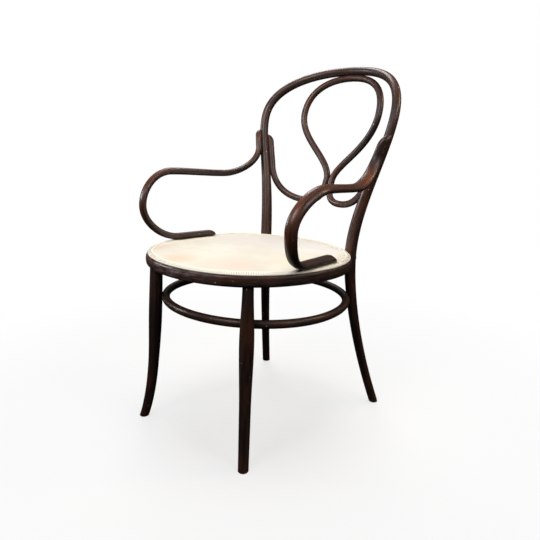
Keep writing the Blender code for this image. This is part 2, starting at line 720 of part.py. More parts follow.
def make_bolt(side, name_end):
    # a round-headed bolt from behind the post through the hoop, with its washer and nut
    axis = -mirrored(seat_normal(POST_SIDE), side)
    level = (HOOP_BOTTOM + LEDGE_Z) / 2
    start = mirrored(post_at(level), side) - axis * (post_radius(level) + FIT)
    inner_face = post_radius(level) + FIT + POST_RADIUS - POST_NOTCH + HOOP_WIDTH
    spot = inner_face - SPOT_DEPTH
    washer_start = spot + FIT
    nut_start = washer_start + WASHER_THICKNESS + FIT
    end = nut_start + NUT_HEIGHT + BOLT_END
    profile = [(BOLT_RADIUS, end), (BOLT_RADIUS, 0)]
    for k in range(CAP_STEPS + 1):
        angle = math.pi / 2 * k / (CAP_STEPS + 1)
        profile.append((BOLT_HEAD * math.cos(angle), -BOLT_HEAD_HEIGHT * math.sin(angle)))
    turned('post_bolt_' + name_end, start, axis, profile, THIN_SIDES, steel)
    hole = [(BOLT_RADIUS + FIT, -BOLT_HEAD_HEIGHT), (BOLT_RADIUS + FIT, spot),
            (WASHER_RADIUS + FIT, spot), (WASHER_RADIUS + FIT, end)]
    cutter = turned('hole_bolt_' + name_end, start, axis, hole, THIN_SIDES, None)
    cut(bow, cutter)
    cut(hoop, cutter)
    bore = (BOLT_RADIUS + FIT) / math.cos(math.pi / 6)
    for piece, radius, low, height, sides in (
            ('post_washer_', WASHER_RADIUS, washer_start, WASHER_THICKNESS, THIN_SIDES),
            ('post_nut_', NUT_RADIUS, nut_start, NUT_HEIGHT, 6)):
        ring = [(bore, low), (radius, low), (radius, low + height), (bore, low + height)]
        turned(piece + name_end, start, axis, ring, sides, steel, bore=True)


# Start from an empty scene

for old in list(bpy.data.objects):
    bpy.data.objects.remove(old, do_unlink=True)

chair = bpy.data.objects.new('chair', None)
bpy.context.collection.objects.link(chair)

beech = finish('dark_stained_beech', (0.045, 0.018, 0.012), 0.32)
leather = finish('cream_leather', (0.86, 0.79, 0.66), 0.55)
foam = finish('pad_foam', (0.80, 0.72, 0.55), 0.95)
plywood = finish('plywood', (0.55, 0.40, 0.24), 0.70)
steel = finish('steel', (0.35, 0.34, 0.33), 0.40, 1.0)

bow = make_bow('back_bow', 0, beech)
bow_cutter = make_bow('saddle_bow', FIT, None)
loop = make_loop('inner_back_loop')
hoop = make_hoop('seat_hoop')
stretcher = make_stretcher('stretcher_hoop')
board = make_board('seat_board')
padding = make_padding('seat_padding')
cover = make_cover('seat_cover')
border = make_border('seat_border')

cut(bow, make_notch_cutter('notch_hoop'))
cut(loop, bow_cutter)
cut(stretcher, bow_cutter)

for side, end in ((1, 'right'), (-1, 'left')):
    arm = make_arm('arm_' + end, side)
    cut(arm, bow_cutter)
    make_leg('front_leg_' + end, side)
    leg = bpy.data.objects['front_leg_' + end]
    cut(hoop, skin('hole_tenon_' + end, tenon_rings(side, FIT), None))
    cut(stretcher, make_leg_cutter('saddle_leg_' + end, side))
    make_bolt(side, end)

    # arm to post: sunk in the arm
    for k, place in ARM_SCREWS:
        z = SEAT_HEIGHT + ARM_LAP_RISE - ARM_LAP * place
        centre = arm_lap(z) + arm_flat(0) * ARM_SCREW_SIDE
        axis = -mirrored(arm_face(), side)
        length = 2 * ARM_THICKNESS + SCREW_GRIP
        head = mirrored(centre, side) - axis * (ARM_THICKNESS - 2 * SCREW_SUNK)
        screw('arm_post_screw_' + k + '_' + end, head, axis, length, (arm, bow))

    # tail to seat: up through the hoop and the leather
    tail = (tail_point(TAIL_END_Y, TAIL_END_INSET) - tail_point(TAIL_START_Y, TAIL_START_INSET))
    for k, place in (('front', 0), ('rear', TAIL_SCREW_STEP)):
        head = tail_point(TAIL_START_Y, TAIL_START_INSET) + tail.normalized() * place
        head.z = HOOP_BOTTOM + SCREW_SUNK
        length = BORDER_TOP - HOOP_BOTTOM + SCREW_GRIP
        screw('arm_seat_screw_' + k + '_' + end, mirrored(head, side), UP, length, (hoop, cover, arm))

    # loop to post: sunk in the loop
    for k, place in LOOP_SCREWS:
        z = SEAT_HEIGHT + LOOP_LAP_RISE - LOOP_LAP * place
        centre, inward = loop_lap(z)
        axis = -mirrored(inward, side)
        length = 2 * LOOP_RADIUS + SCREW_GRIP
        head = mirrored(centre, side) - axis * (LOOP_RADIUS - SCREW_SUNK)
        screw('loop_post_screw_' + k + '_' + end, head, axis, length, (loop, bow))

    # stretcher to legs: sunk in the inner side of the stretcher
    for k, touch, carrier in (('front', FRONT_TOUCH, leg), ('rear', REAR_TOUCH, bow)):
        axis = mirrored(touch, side).normalized()
        middle = mirrored(touch, side) + UP * STRETCHER_HEIGHT
        head = middle - axis * (STRETCHER_RADIUS - SCREW_SUNK)
        length = 2 * STRETCHER_RADIUS + SCREW_GRIP
        screw('stretcher_screw_' + k + '_' + end, head, axis, length, (stretcher, carrier))

# loop to crown: sunk in the loop, from below
for k, x in (('right', SCREW_HEAD * 2), ('left', -SCREW_HEAD * 2)):
    top = on_back(0, CROWN_Z - CROWN_RADIUS - LOOP_RADIUS + BITE)
    head = top + Vector((x, 0, SCREW_SUNK - LOOP_RADIUS))
    screw('loop_crown_screw_' + k, head, UP, 2 * LOOP_RADIUS + SCREW_GRIP, (loop, bow))

# The origin is on the floor under the middle of the chair's box
lean = Matrix.Rotation(-SEAT_SLOPE, 3, 'X')
depths = [(lean @ v.co).y for obj in (bow, hoop, leg) for v in obj.data.vertices]
chair.rotation_euler.x = -SEAT_SLOPE
chair.location.y = -(min(depths) + max(depths)) / 2
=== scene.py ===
import math
import random

import bpy
import numpy as np
from mathutils import Matrix, Vector, noise


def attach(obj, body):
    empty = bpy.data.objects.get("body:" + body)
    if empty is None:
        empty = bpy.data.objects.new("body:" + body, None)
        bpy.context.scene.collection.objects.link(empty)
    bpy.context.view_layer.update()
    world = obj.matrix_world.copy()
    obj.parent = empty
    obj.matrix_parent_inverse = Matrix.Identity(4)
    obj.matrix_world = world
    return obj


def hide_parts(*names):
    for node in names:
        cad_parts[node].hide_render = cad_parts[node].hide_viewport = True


# Bentwood armchair: smooth bent rods, a sewn leather seat and the screws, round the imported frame.
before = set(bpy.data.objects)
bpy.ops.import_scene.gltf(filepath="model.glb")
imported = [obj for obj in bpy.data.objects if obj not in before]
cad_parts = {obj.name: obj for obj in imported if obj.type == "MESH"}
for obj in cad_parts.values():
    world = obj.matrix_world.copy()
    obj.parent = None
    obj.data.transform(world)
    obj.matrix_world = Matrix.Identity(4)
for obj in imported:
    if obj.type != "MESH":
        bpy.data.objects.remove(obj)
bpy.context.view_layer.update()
random.seed(4)
up = Vector((0, 0, 1))
right = Vector((1, 0, 0))
front = Vector((0, -1, 0))
print("frame:", len(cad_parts), "nodes")

# The seat hoop's outline, in metres. The hoop is level here, and place() leans the chair back on its
# shorter rear legs and sets it over the middle of the floor.
seat = {"height": 0.462, "slope": math.radians(2), "shift": -0.0833, "halfWidth": 0.258, "front": 0.2815,
        "rear": 0.2485, "corner": 0.024, "hoopHeight": 0.028, "hoopWidth": 0.042}
hoopBottom = seat["height"] - seat["hoopHeight"]
hoopMiddle = seat["height"] - seat["hoopHeight"] / 2
lean = Matrix.Translation((0, seat["shift"], 0)) @ Matrix.Rotation(-seat["slope"], 4, "X")
saddleGap = 0.0003  # left between a rod and the rod that it lies on


def place(point):
    if point.z < hoopBottom:  # the legs are drawn out or in to meet the floor
        point = point + up * point.y * math.tan(seat["slope"]) * (1 - point.z / hoopBottom)
    return lean @ point


def ease(t):
    t = min(max(t, 0.0), 1.0)
    return t * t * (3 - 2 * t)


def between(a, b, t):
    return a + (b - a) * t


def bend(a, b, c, d, steps):  # points of one bend, without its last point
    points = []
    for k in range(steps):
        t = k / steps
        s = 1 - t
        points.append(a * s**3 + b * (3 * s * s * t) + c * (3 * s * t * t) + d * t**3)
    return points


def mirrored(point, side):
    return Vector((point.x * side, point.y, point.z))


def halve(rising, target, low, high):  # where a rising function reaches its target
    for _ in range(40):
        middle = (low + high) / 2
        if rising(middle) < target:
            low = middle
        else:
            high = middle
    return low


def seatEdge(turn):  # turn is 0 at the front
    ahead = math.cos(turn) > 0
    depth = seat["front"] if ahead else seat["rear"]
    full = 1 + seat["corner"] * math.sin(2 * turn)**2 if ahead else 1
    return Vector((seat["halfWidth"] * math.sin(turn), -depth * math.cos(turn), 0)) * full


def seatOut(turn, step=0.002):
    along = seatEdge(turn + step) - seatEdge(turn - step)
    return Vector((along.y, -along.x, 0)).normalized()


def seatInset(turn, inset, z=0.0):
    return seatEdge(turn) - seatOut(turn) * inset + up * z


def seatSideX(y):
    return seatEdge(halve(lambda turn: seatEdge(turn).y, y, 0, math.pi)).x


def offRound(point, middle, radius):  # a saddle: a point inside a round rod moves to its face
    away = point - middle
    least = radius + saddleGap
    return middle + away.normalized() * least if away.length < least else point


def material(name):
    made = bpy.data.materials.new(name)
    made.use_nodes = True
    return made


def linear(code):  # sRGB hex to the linear colour that the shader takes
    parts = [int(code[k:k + 2], 16) / 255 for k in (1, 3, 5)]
    return [p / 12.92 if p <= 0.04045 else ((p + 0.055) / 1.055)**2.4 for p in parts] + [1]


mixShare, mixUnder, mixOver = 0, 6, 7  # sockets of a Mix node that mixes colours
mixing = {"give": 2, "data_type": "RGBA"}


def setSockets(node, sockets):  # each is given a value, a hex colour or a link from another socket
    for key, value in sockets.items():
        if isinstance(value, bpy.types.NodeSocket):
            node.id_data.links.new(value, node.inputs[key])
        else:
            node.inputs[key].default_value = linear(value) if isinstance(value, str) else value


def addNode(owner, kind, sockets, give=0, **settings):  # gives back one of the new node's outputs
    made = owner.node_tree.nodes.new("ShaderNode" + kind)
    for key, value in settings.items():
        setattr(made, key, value)
    setSockets(made, sockets)
    return made.outputs[give]


def shaderOf(owner):
    return owner.node_tree.nodes["Principled BSDF"]


# Bent beech under old dark stain and polish. The eye gets long soft streaks along the bend, redder
# patches where the stain is thin, rubbed places, light nicks and a half-gloss sheen, with grey patches of
# painted sheen, a painted highlight on the hoop's front, and dirt and painted shade on the undersides, legs
# and stretcher.
beech = material("dark_stained_beech")
straight = addNode(beech, "Attribute", {}, "Vector", attribute_name="straight")
rubbed, grimeAndShade, paintedSheenAmount = (addNode(beech, "Attribute", {}, "Fac", attribute_name=name)
                        for name in ("rubbed", "grimeAndShade", "paintedSheenAmount"))  # only the seat hoop has it: more painted sheen there, and a painted highlight at its front
# In the straight rod: growth figure, 6 mm wide and 200 mm long, patches of thin stain, 80 mm by 40 mm, and
# grey flecks of painted sheen, 30 mm by 7 mm. Beech pores are 0.1 mm wide: drawn as streaks of 4 mm, so that
# they show at this distance. Scales are repeats per metre along the rod and across it.
patterns = {"figure": {"Scale": (5, 170, 170), "Detail": 3, "Distortion": 0.4},
            "patch": {"Scale": (12, 26, 26), "Detail": 3, "Roughness": 0.6},
            "pores": {"Scale": (20, 230, 230), "Detail": 1, "Roughness": 0.4},
            "paintedSheen": {"Scale": (32, 140, 140), "Detail": 2, "Roughness": 0.6}}
drawn = {}
for name, pattern in patterns.items():
    at = addNode(beech, "Mapping", {"Vector": straight, "Scale": pattern["Scale"]})
    drawn[name] = addNode(beech, "TexNoise", pattern | {"Vector": at, "Scale": 1})
# nicks are under 1 mm: drawn at 2 to 4 mm, so that they show, a few to the hand's breadth
solid = addNode(beech, "TexCoord", {}, "Object")
nickAt = addNode(beech, "Mapping", {"Vector": solid, "Scale": (62, 62, 62)})
nickAway = addNode(beech, "TexVoronoi", {"Vector": nickAt, "Scale": 1}, "Distance")
nickPick = addNode(beech, "SeparateColor", {"Color": nickAway.node.outputs["Color"]}, "Red")
# painted sheen: grey patches stand for the polish's reflection, most on the hoop, and a pale painted
# highlight at the hoop's front, where the amount passes 1
paintedSheenMost = addNode(beech, "Math", {0: paintedSheenAmount, 1: 0.55, 2: 0.25}, operation="MULTIPLY_ADD")
# what each share follows, from where to where, and the share at either end
ramps = {"figure": (drawn["figure"], 0.36, 0.64, 0, 1), "patch": (drawn["patch"], 0.5, 0.72, 0, 0.8),
         "pores": (drawn["pores"], 0.45, 0.68, 0, 0.75), "paintedSheen": (drawn["paintedSheen"], 0.45, 0.68, 0, paintedSheenMost),
         "paintedHighlight": (paintedSheenAmount, 1, 2, 0, 1), "rub": (drawn["pores"], 0.35, 0.6, 0.25, 1),
         "nickSpot": (nickAway, 0.12, 0.06, 0, 1), "nickSome": (nickPick, 0.78, 0.82, 0, 1),
         "gloss": (drawn["pores"], 0.3, 0.7, 0.35, 0.55)}
shares = {}
for name, (value, low, high, least, most) in ramps.items():
    limits = {"Value": value, "From Min": low, "From Max": high, "To Min": least, "To Max": most}
    slope = "SMOOTHSTEP" if name == "patch" else "LINEAR"
    shares[name] = addNode(beech, "MapRange", limits, interpolation_type=slope)
paintedHighlightShare = addNode(beech, "Math", {0: shares["paintedHighlight"], 1: shares["paintedSheen"]}, operation="MULTIPLY")
worn = addNode(beech, "Math", {0: rubbed, 1: shares["rub"]}, operation="MULTIPLY")
nicked = addNode(beech, "Math", {0: shares["nickSpot"], 1: shares["nickSome"]}, operation="MULTIPLY")
# each colour lies over those before it, grey painted sheen and a pale painted highlight among them, and the
# dirt and painted shade over all
wood = "#1a0d0a"
for layer, code in ((shares["figure"], "#523023"), (shares["patch"], "#6a3a22"), (shares["pores"], "#120b09"),
                    (shares["paintedSheen"], "#483e3d"), (paintedHighlightShare, "#a59aa2"), (worn, "#74422a"), (nicked, "#c9bcae"),
                    (grimeAndShade, "#0e0908")):
    wood = addNode(beech, "Mix", {mixShare: layer, mixUnder: wood, mixOver: code}, **mixing)
# half gloss, polished by the hands in the worn places and dull in the dirt and painted shade
handled = addNode(beech, "Math", {0: rubbed, 1: -0.3, 2: shares["gloss"]}, operation="MULTIPLY_ADD")
dull = addNode(beech, "Math", {0: grimeAndShade, 1: 0.22, 2: handled}, operation="MULTIPLY_ADD")
# the bent surface is a little uneven, in waves of 50 mm
waves = addNode(beech, "TexNoise", {"Vector": straight, "Scale": 20, "Detail": 0})
uneven = addNode(beech, "Bump", {"Height": waves, "Strength": 0.3, "Distance": 0.002})
setSockets(shaderOf(beech), {"Base Color": wood, "Roughness": dull, "IOR": 1.5, "Coat Weight": 0.12,
                             "Coat Roughness": 0.3, "Normal": uneven})

# Old cream leather. The eye gets a warm white with soft yellowed and grey places, tan stains along the
# front, a band painted paler as painted light, a fine grain and a low sheen. A stain has a middle, a reach, a
# colour and a depth.
leatherStains = {
    "tanFront": ((-0.028, -0.300, 0.478), 0.075, "#d3b18a", 0.48),
    "orangeTip": ((-0.170, -0.245, 0.477), 0.060, "#d2a983", 0.35),
    "orangeMark": ((0.085, -0.318, 0.478), 0.045, "#cca078", 0.26),
    "peachFront": ((0.110, -0.250, 0.477), 0.110, "#dfc5b0", 0.62),
    "peachRight": ((0.175, -0.120, 0.472), 0.090, "#dec8a9", 0.55),
    "brownEnd": ((0.222, 0.080, 0.466), 0.035, "#c09a72", 0.35),
    "greyMiddle": ((-0.060, 0.000, 0.469), 0.170, "#d6cfcb", 0.75),
    "yellowLeft": ((-0.205, -0.110, 0.472), 0.095, "#d8cbae", 0.55),
    "paleBack": ((0.110, 0.070, 0.468), 0.160, "#dfdbd6", 0.80)}
leather = material("cream_leather")
hideAt = addNode(leather, "TexCoord", {}, "Object")
cloudAt = addNode(leather, "Mapping", {"Vector": hideAt, "Scale": (14, 14, 14)})  # 70 mm
cloud = addNode(leather, "TexNoise", {"Vector": cloudAt, "Scale": 1, "Detail": 4, "Roughness": 0.6})
clouded = addNode(leather, "MapRange", {"Value": cloud, "From Min": 0.35, "From Max": 0.7})
# the edge has yellowed, in a ring of 25 mm
ringAt = addNode(leather, "Mapping", {"Vector": hideAt, "Location": (0, 0.372, 0), "Scale": (3.88, 3.77, 0)})
ringOut = addNode(leather, "VectorMath", {0: ringAt}, "Value", operation="LENGTH")
ringed = addNode(leather, "MapRange", {"Value": ringOut, "From Min": 0.90, "From Max": 0.97, "To Max": 0.4},
                 interpolation_type="SMOOTHSTEP")
hideLayers = [(clouded, "#d2cbbb"), (ringed, "#d2c6a9")]
for centre, reach, code, depth in leatherStains.values():
    away = addNode(leather, "VectorMath", {0: hideAt, 1: centre}, "Value", operation="DISTANCE")
    edge = addNode(leather, "Math", {0: cloud, 1: reach * 0.9, 2: away}, operation="MULTIPLY_ADD")
    limits = {"Value": edge, "From Min": reach * 1.4, "From Max": reach * 0.5, "To Max": depth}
    hideLayers.append((addNode(leather, "MapRange", limits, interpolation_type="SMOOTHSTEP"), code))
# painted light: the band slopes away from the lamps and is painted paler than the seat
hideLayers.append((addNode(leather, "Attribute", {}, "Fac", attribute_name="paintedBandLight"), "#efeadb"))
hide = "#dcd7cb"
for layer, code in hideLayers:
    hide = addNode(leather, "Mix", {mixShare: layer, mixUnder: hide, mixOver: code}, **mixing)
# the hide's own grain is under 1 mm: drawn at 4 mm, so that it shows
grainAt = addNode(leather, "Mapping", {"Vector": hideAt, "Scale": (250, 250, 250)})
grain = addNode(leather, "TexVoronoi", {"Vector": grainAt, "Scale": 1}, "Distance", feature="SMOOTH_F1")
pebbled = addNode(leather, "Bump", {"Height": grain, "Strength": 0.25, "Distance": 0.0005})
sheen = addNode(leather, "MapRange", {"Value": cloud, "To Min": 0.42, "To Max": 0.6})
setSockets(shaderOf(leather), {"Base Color": hide, "Roughness": sheen, "IOR": 1.45, "Normal": pebbled})

# Waxed linen thread, yellowed. The eye gets short dull brown ticks.
thread = material("linen_thread")
threadAt = addNode(thread, "TexCoord", {}, "Object")
twist = addNode(thread, "TexNoise", {"Vector": threadAt, "Scale": 900, "Detail": 1})  # 1 mm
threadTone = addNode(thread, "Mix", {mixShare: twist, mixUnder: "#5c5645", mixOver: "#8d866f"}, **mixing)
setSockets(shaderOf(thread), {"Base Color": threadTone, "Roughness": 0.75, "IOR": 1.5})

# Old iron screws under the same stain. The eye gets a dull dark brown-grey metal, brighter where turned.
iron = material("stained_iron")
ironAt = addNode(iron, "TexCoord", {}, "Object")
rust = addNode(iron, "TexNoise", {"Vector": ironAt, "Scale": 400, "Detail": 4})  # spots of 2.5 mm
ironTone = addNode(iron, "Mix", {mixShare: rust, mixUnder: "#3a2c26", mixOver: "#6a5b52"}, **mixing)
ironGloss = addNode(iron, "MapRange", {"Value": rust, "To Min": 0.35, "To Max": 0.65})
setSockets(shaderOf(iron), {"Base Color": ironTone, "Metallic": 1.0, "Roughness": ironGloss})

# Thin plywood under the seat. The eye gets a pale brown face with a plain straight figure, 6 mm wide.
ply = material("plywood")
plyAt = addNode(ply, "TexCoord", {}, "Object")
plyLong = addNode(ply, "Mapping", {"Vector": plyAt, "Scale": (160, 6, 160)})
plyFigure = addNode(ply, "TexNoise", {"Vector": plyLong, "Scale": 1, "Detail": 5, "Distortion": 0.6})
plyTone = addNode(ply, "Mix", {mixShare: plyFigure, mixUnder: "#7d5a3c", mixOver: "#b08a62"}, **mixing)
plyBump = addNode(ply, "Bump", {"Height": plyFigure, "Strength": 0.3, "Distance": 0.0005})
setSockets(shaderOf(ply), {"Base Color": plyTone, "Roughness": 0.6, "Normal": plyBump})
print("materials made")


def dress(piece, surface):
    piece.data.materials.clear()
    piece.data.materials.append(surface)


def finish(piece, surface, slotName, *nodes):  # look, body, slot and the CAD nodes that it stands for; the slot is not used
    dress(piece, surface)
    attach(piece, "root")
    if nodes:
        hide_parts(*nodes)


def selectOnly(piece):
    bpy.ops.object.select_all(action="DESELECT")
    piece.select_set(True)
    bpy.context.view_layer.objects.active = piece


def copied(piece):
    copy = piece.copy()
    copy.data = piece.data.copy()
    bpy.context.collection.objects.link(copy)
    return copy


def pickEnd(piece, way):  # into edit mode, with the flat end that faces up or down picked
    bpy.ops.object.mode_set(mode="EDIT")
    bpy.ops.mesh.select_all(action="DESELECT")
    bpy.ops.object.mode_set(mode="OBJECT")
    for poly in piece.data.polygons:
        poly.select = poly.normal.z * way > 0.9
    bpy.ops.object.mode_set(mode="EDIT")


def drawOut(length, narrow=1.0):  # what is picked is drawn out along Z and narrowed
    bpy.ops.mesh.extrude_region_move(TRANSFORM_OT_translate={"value": (0, 0, length)})
    if narrow < 1:
        bpy.ops.transform.resize(value=(narrow, narrow, 1))


def directions(path, closed=False):
    found = []
    for k in range(len(path)):
        after = path[(k + 1) % len(path)] if closed else path[min(k + 1, len(path) - 1)]
        before = path[k - 1] if closed else path[max(k - 1, 0)]
        found.append((after - before).normalized())
    return found


def domed(station, sign, length, rest, square=1.0, steps=8):
    # stations that close the end of a rod; rest is the side that stays straight
    centre, along, across, wide, thick = station
    made = []
    for k in range(1, steps + 1):
        turn = math.pi / 2 * k / (steps + 0.35)  # stops short of a point
        middle = centre + along * sign * length * math.sin(turn) + rest * thick * (1 - math.cos(turn))
        made.append((middle, along, across, wide * math.cos(turn)**square, thick * math.cos(turn)))
    return made


def skin(name, rings, closed, smoothTo):
    # rings of points along a bend, with faces between them, since no operator bends a rod to a given line
    count, sides = len(rings), len(rings[0])
    faces = []
    for k in range(count if closed else count - 1):
        here, after = k * sides, (k + 1) % count * sides
        for n in range(sides):
            m = (n + 1) % sides
            faces.append((here + n, here + m, after + m, after + n))
    if not closed:
        faces.append(list(range(sides))[::-1])
        faces.append([(count - 1) * sides + n for n in range(sides)])
    mesh = bpy.data.meshes.new(name)
    mesh.from_pydata([point for ring in rings for point in ring], [], faces)
    piece = bpy.data.objects.new(name, mesh)
    bpy.context.collection.objects.link(piece)
    selectOnly(piece)
    if closed:  # an open rod faces outwards as it is, and a folded end would be turned inside out
        bpy.ops.object.mode_set(mode="EDIT")
        bpy.ops.mesh.select_all(action="SELECT")
        bpy.ops.mesh.normals_make_consistent(inside=False)
        bpy.ops.object.mode_set(mode="OBJECT")
    bpy.ops.object.shade_smooth_by_angle(angle=math.radians(smoothTo))
    return piece


def keepGrain(piece, billet):  # each vertex keeps its place in the straight rod, where the grain is drawn
    store = piece.data.attributes.new("straight", "FLOAT_VECTOR", "POINT")
    store.data.foreach_set("vector", np.array(billet, np.float32).ravel())


def bendRod(name, stations, sides, closed=False, clear=None):
    # a rod of oval rings; clear moves a point off the rod that this one lies on
    rings = []
    billet = []
    run = random.uniform(0, 9)
    for k, (centre, along, across, wide, thick) in enumerate(stations):
        run += (centre - stations[k - 1][0]).length if k else 0
        a = (across - along * across.dot(along)).normalized()
        b = along.cross(a)
        ring = []
        for n in range(sides):
            turn = 2 * math.pi * n / sides
            u, v = wide * math.cos(turn), thick * math.sin(turn)
            point = centre + a * u + b * v
            ring.append(place(clear(point) if clear else point))
            billet.append((run, u, v))
        rings.append(ring)
    rod = skin(name, rings, closed, 40)
    keepGrain(rod, billet)
    return rod


# Painted shade: the undersides of the rods are darker and duller.
undersideShade = {"underShade": 0.5, "underFrom": 0.3}


def rub(piece, spots, darkening=lambda point: 0.0):
    # a spot has a middle, a reach, the way that the rubbed side faces and a depth; the last argument gives a
    # point's dirt and painted shade, and undersides get painted shade too
    spots = [(place(middle), reach, facing, depth) for middle, reach, facing, depth in spots]
    dirtAndShade = piece.data.attributes.new("grimeAndShade", "FLOAT", "POINT")
    store = piece.data.attributes.new("rubbed", "FLOAT", "POINT")
    for v in piece.data.vertices:
        most = 0.0
        for middle, reach, facing, depth in spots:
            near = math.exp(-((v.co - middle).length / reach)**2)
            side = max(0.0, v.normal.dot(facing))**2 if facing else 1.0
            most = max(most, near * side * depth)
        store.data[v.index].value = most
        # painted shade: the more a face turns down, the darker and duller it is
        dirtAndShade.data[v.index].value = max(darkening(v.co), undersideShade["underShade"] * ease(undersideShade["underFrom"] - v.normal.z))


# Back bow: rear legs, posts and arch of one rod. The back leans and wraps round the sitter.
back = {"postTurn": math.radians(36), "notch": 0.005, "rise": 0.4815, "halfWidth": 0.225, "shoulder": 0.35,
        "postHandle": 0.157, "shoulderHandle": 0.088, "full": 0.63, "recline": 0.127, "wrap": 0.244,
        "sweep": 0.105, "sweepTurn": math.radians(35), "sweepPower": 1.62, "footRadius": 0.012,
        "postRadius": 0.016, "shoulderRadius": 0.012, "crownRadius": 0.0115, "chamfer": 0.0015,
        "sides": 32, "legSteps": 90, "postSteps": 90, "archSteps": 70}
crownZ = seat["height"] + back["rise"]
shoulderZ = seat["height"] + back["shoulder"]
postSide = math.pi - back["postTurn"]
postFoot = seatEdge(postSide) + seatOut(postSide) * (back["postRadius"] - back["notch"])
backRoot = postFoot.y + postFoot.x**2 / (2 * back["wrap"])


def onBack(x, z):
    tilt = back["recline"] * ease((z - hoopMiddle) / (crownZ - hoopMiddle))
    return Vector((x, backRoot + tilt - x * x / (2 * back["wrap"]), z))


postStart = Vector((postFoot.x, 0, hoopMiddle))
postEnd = Vector((back["halfWidth"], 0, shoulderZ))
postRise = postStart + up * back["postHandle"]
postLine = bend(postStart, postRise, postEnd - up * back["shoulderHandle"], postEnd, back["postSteps"])
postHeights = [p.z for p in postLine + [postEnd]]
postWidths = [p.x for p in postLine + [postEnd]]


def postAt(z):
    if z < hoopMiddle:
        reach = back["sweep"] * ((hoopMiddle - z) / hoopMiddle)**back["sweepPower"]
        turn = back["sweepTurn"]
        return postFoot + Vector((math.sin(turn), math.cos(turn), 0)) * reach + up * z
    return onBack(float(np.interp(z, postHeights, postWidths)), z)


def postRadius(z):
    if z < hoopMiddle:
        return between(back["footRadius"], back["postRadius"], (z / hoopMiddle)**2)
    t = ease((z - hoopMiddle) / (shoulderZ - hoopMiddle))
    return between(back["postRadius"], back["shoulderRadius"], t)


bowHalf = [(postAt(0), postRadius(0) - back["chamfer"])]
for k in range(back["legSteps"]):
    z = between(back["chamfer"], hoopMiddle, k / back["legSteps"])
    bowHalf.append((postAt(z), postRadius(z)))
bowHalf += [(onBack(p.x, p.z), postRadius(p.z)) for p in postLine]
crown = Vector((0, 0, crownZ))
archRise = up * (crownZ - shoulderZ) * back["full"]
archRun = right * back["halfWidth"] * back["full"]
arch = bend(postEnd, postEnd + archRise, crown + archRun, crown, back["archSteps"]) + [crown]
for k, p in enumerate(arch):
    radius = between(back["shoulderRadius"], back["crownRadius"], k / back["archSteps"])
    bowHalf.append((onBack(p.x, p.z), radius))
bowLine = bowHalf + [(mirrored(p, -1), r) for p, r in bowHalf[-2::-1]]
bowAlong = directions([p for p, r in bowLine])
bowAlong[:2] = [up, up]  # the feet are cut level
bowAlong[-2:] = [-up, -up]
bow = bendRod("backBow", [(p, d, -front, r, r) for (p, r), d in zip(bowLine, bowAlong)], back["sides"])
rub(bow, [(onBack(0, crownZ), 0.16, up, 0.35),
          (postAt(0), 0.03, None, 0.5), (mirrored(postAt(0), -1), 0.03, None, 0.5),  # the feet
          (postAt(0.62), 0.09, Vector((0.5, -0.8, 0)), 0.25)])  # the right post, below its arm
finish(bow, beech, "dark_stained_beech", "back_bow")

# Inner loop: one rod from post to post, with two lobes, a neck and a teardrop under the crown.
loop = {"radius": 0.0094, "bite": 0.002, "lapRise": 0.2735, "lap": 0.0695, "lapHandle": 0.0685,
        "lobe": (0.0605, 0.113), "lobeIn": 0.0455, "lobeOut": 0.053, "neck": 0.1755, "neckGap": 0.0005,
        "neckDown": 0.038, "neckUp": 0.0505, "eye": (0.1315, 0.362), "eyeHandle": 0.083, "endRound": 0.023,
        "crownLap": 0.03, "sides": 28, "lapSteps": 16, "steps": (44, 36, 48, 48)}


def loopLap(z):  # the loop lies on the inner back side of the post
    post = postAt(z)
    inward = Vector((-1, post.x / back["wrap"], 0)).normalized()
    return post + inward * (postRadius(z) + loop["radius"] - loop["bite"]), inward


def offPost(point):
    post = mirrored(postAt(point.z), math.copysign(1, point.x))
    return offRound(point, post, postRadius(point.z))


def offBow(point):  # clear of the posts and of the bow's underside at the crown
    if point.z < lapTop + loop["endRound"]:
        return offPost(point)
    if abs(point.x) < loop["crownLap"]:
        return offRound(point, onBack(0, crownZ) + right * point.x, back["crownRadius"])
    return point


lapTop = seat["height"] + loop["lapRise"]
lap = [loopLap(lapTop - loop["lap"] * k / loop["lapSteps"])[0] for k in range(loop["lapSteps"] + 1)]
onPost = -loopLap(lapTop)[1]
lapWay = (lap[-1] - lap[-2]).normalized()
lobe = Vector((loop["lobe"][0], 0, seat["height"] + loop["lobe"][1]))
neck = Vector((loop["radius"] + loop["neckGap"] / 2, 0, seat["height"] + loop["neck"]))
eye = Vector((loop["eye"][0], 0, seat["height"] + loop["eye"][1]))
loopTop = up * (crownZ - back["crownRadius"] - loop["radius"] + loop["bite"])
lapOut = Vector((lap[-1].x, 0, lap[-1].z))
lapPull = Vector((lapWay.x, 0, lapWay.z)) * loop["lapHandle"]
eyeRise = up * (loopTop.z - eye.z) * back["full"]
eyeRun = right * loop["eye"][0] * back["full"]
loopBends = [(lapOut, lapOut + lapPull, lobe + right * loop["lobeOut"], lobe),
             (lobe, lobe - right * loop["lobeIn"], neck - up * loop["neckDown"], neck),
             (neck, neck + up * loop["neckUp"], eye - up * loop["eyeHandle"], eye),
             (eye, eye + eyeRise, loopTop + eyeRun, loopTop)]
loopView = [p for ends, steps in zip(loopBends, loop["steps"]) for p in bend(*ends, steps)] + [loopTop]
loopHalf = lap[:-1] + [onBack(p.x, p.z) for p in loopView]
loopLine = loopHalf + [mirrored(p, -1) for p in loopHalf[-2::-1]]
stations = [(p, d, -front, loop["radius"], loop["radius"]) for p, d in zip(loopLine, directions(loopLine))]
rightTip = domed(stations[0], -1, loop["endRound"], onPost)
leftTip = domed(stations[-1], 1, loop["endRound"], mirrored(onPost, -1))
innerLoop = bendRod("innerLoop", rightTip[::-1] + stations + leftTip, loop["sides"], clear=offBow)
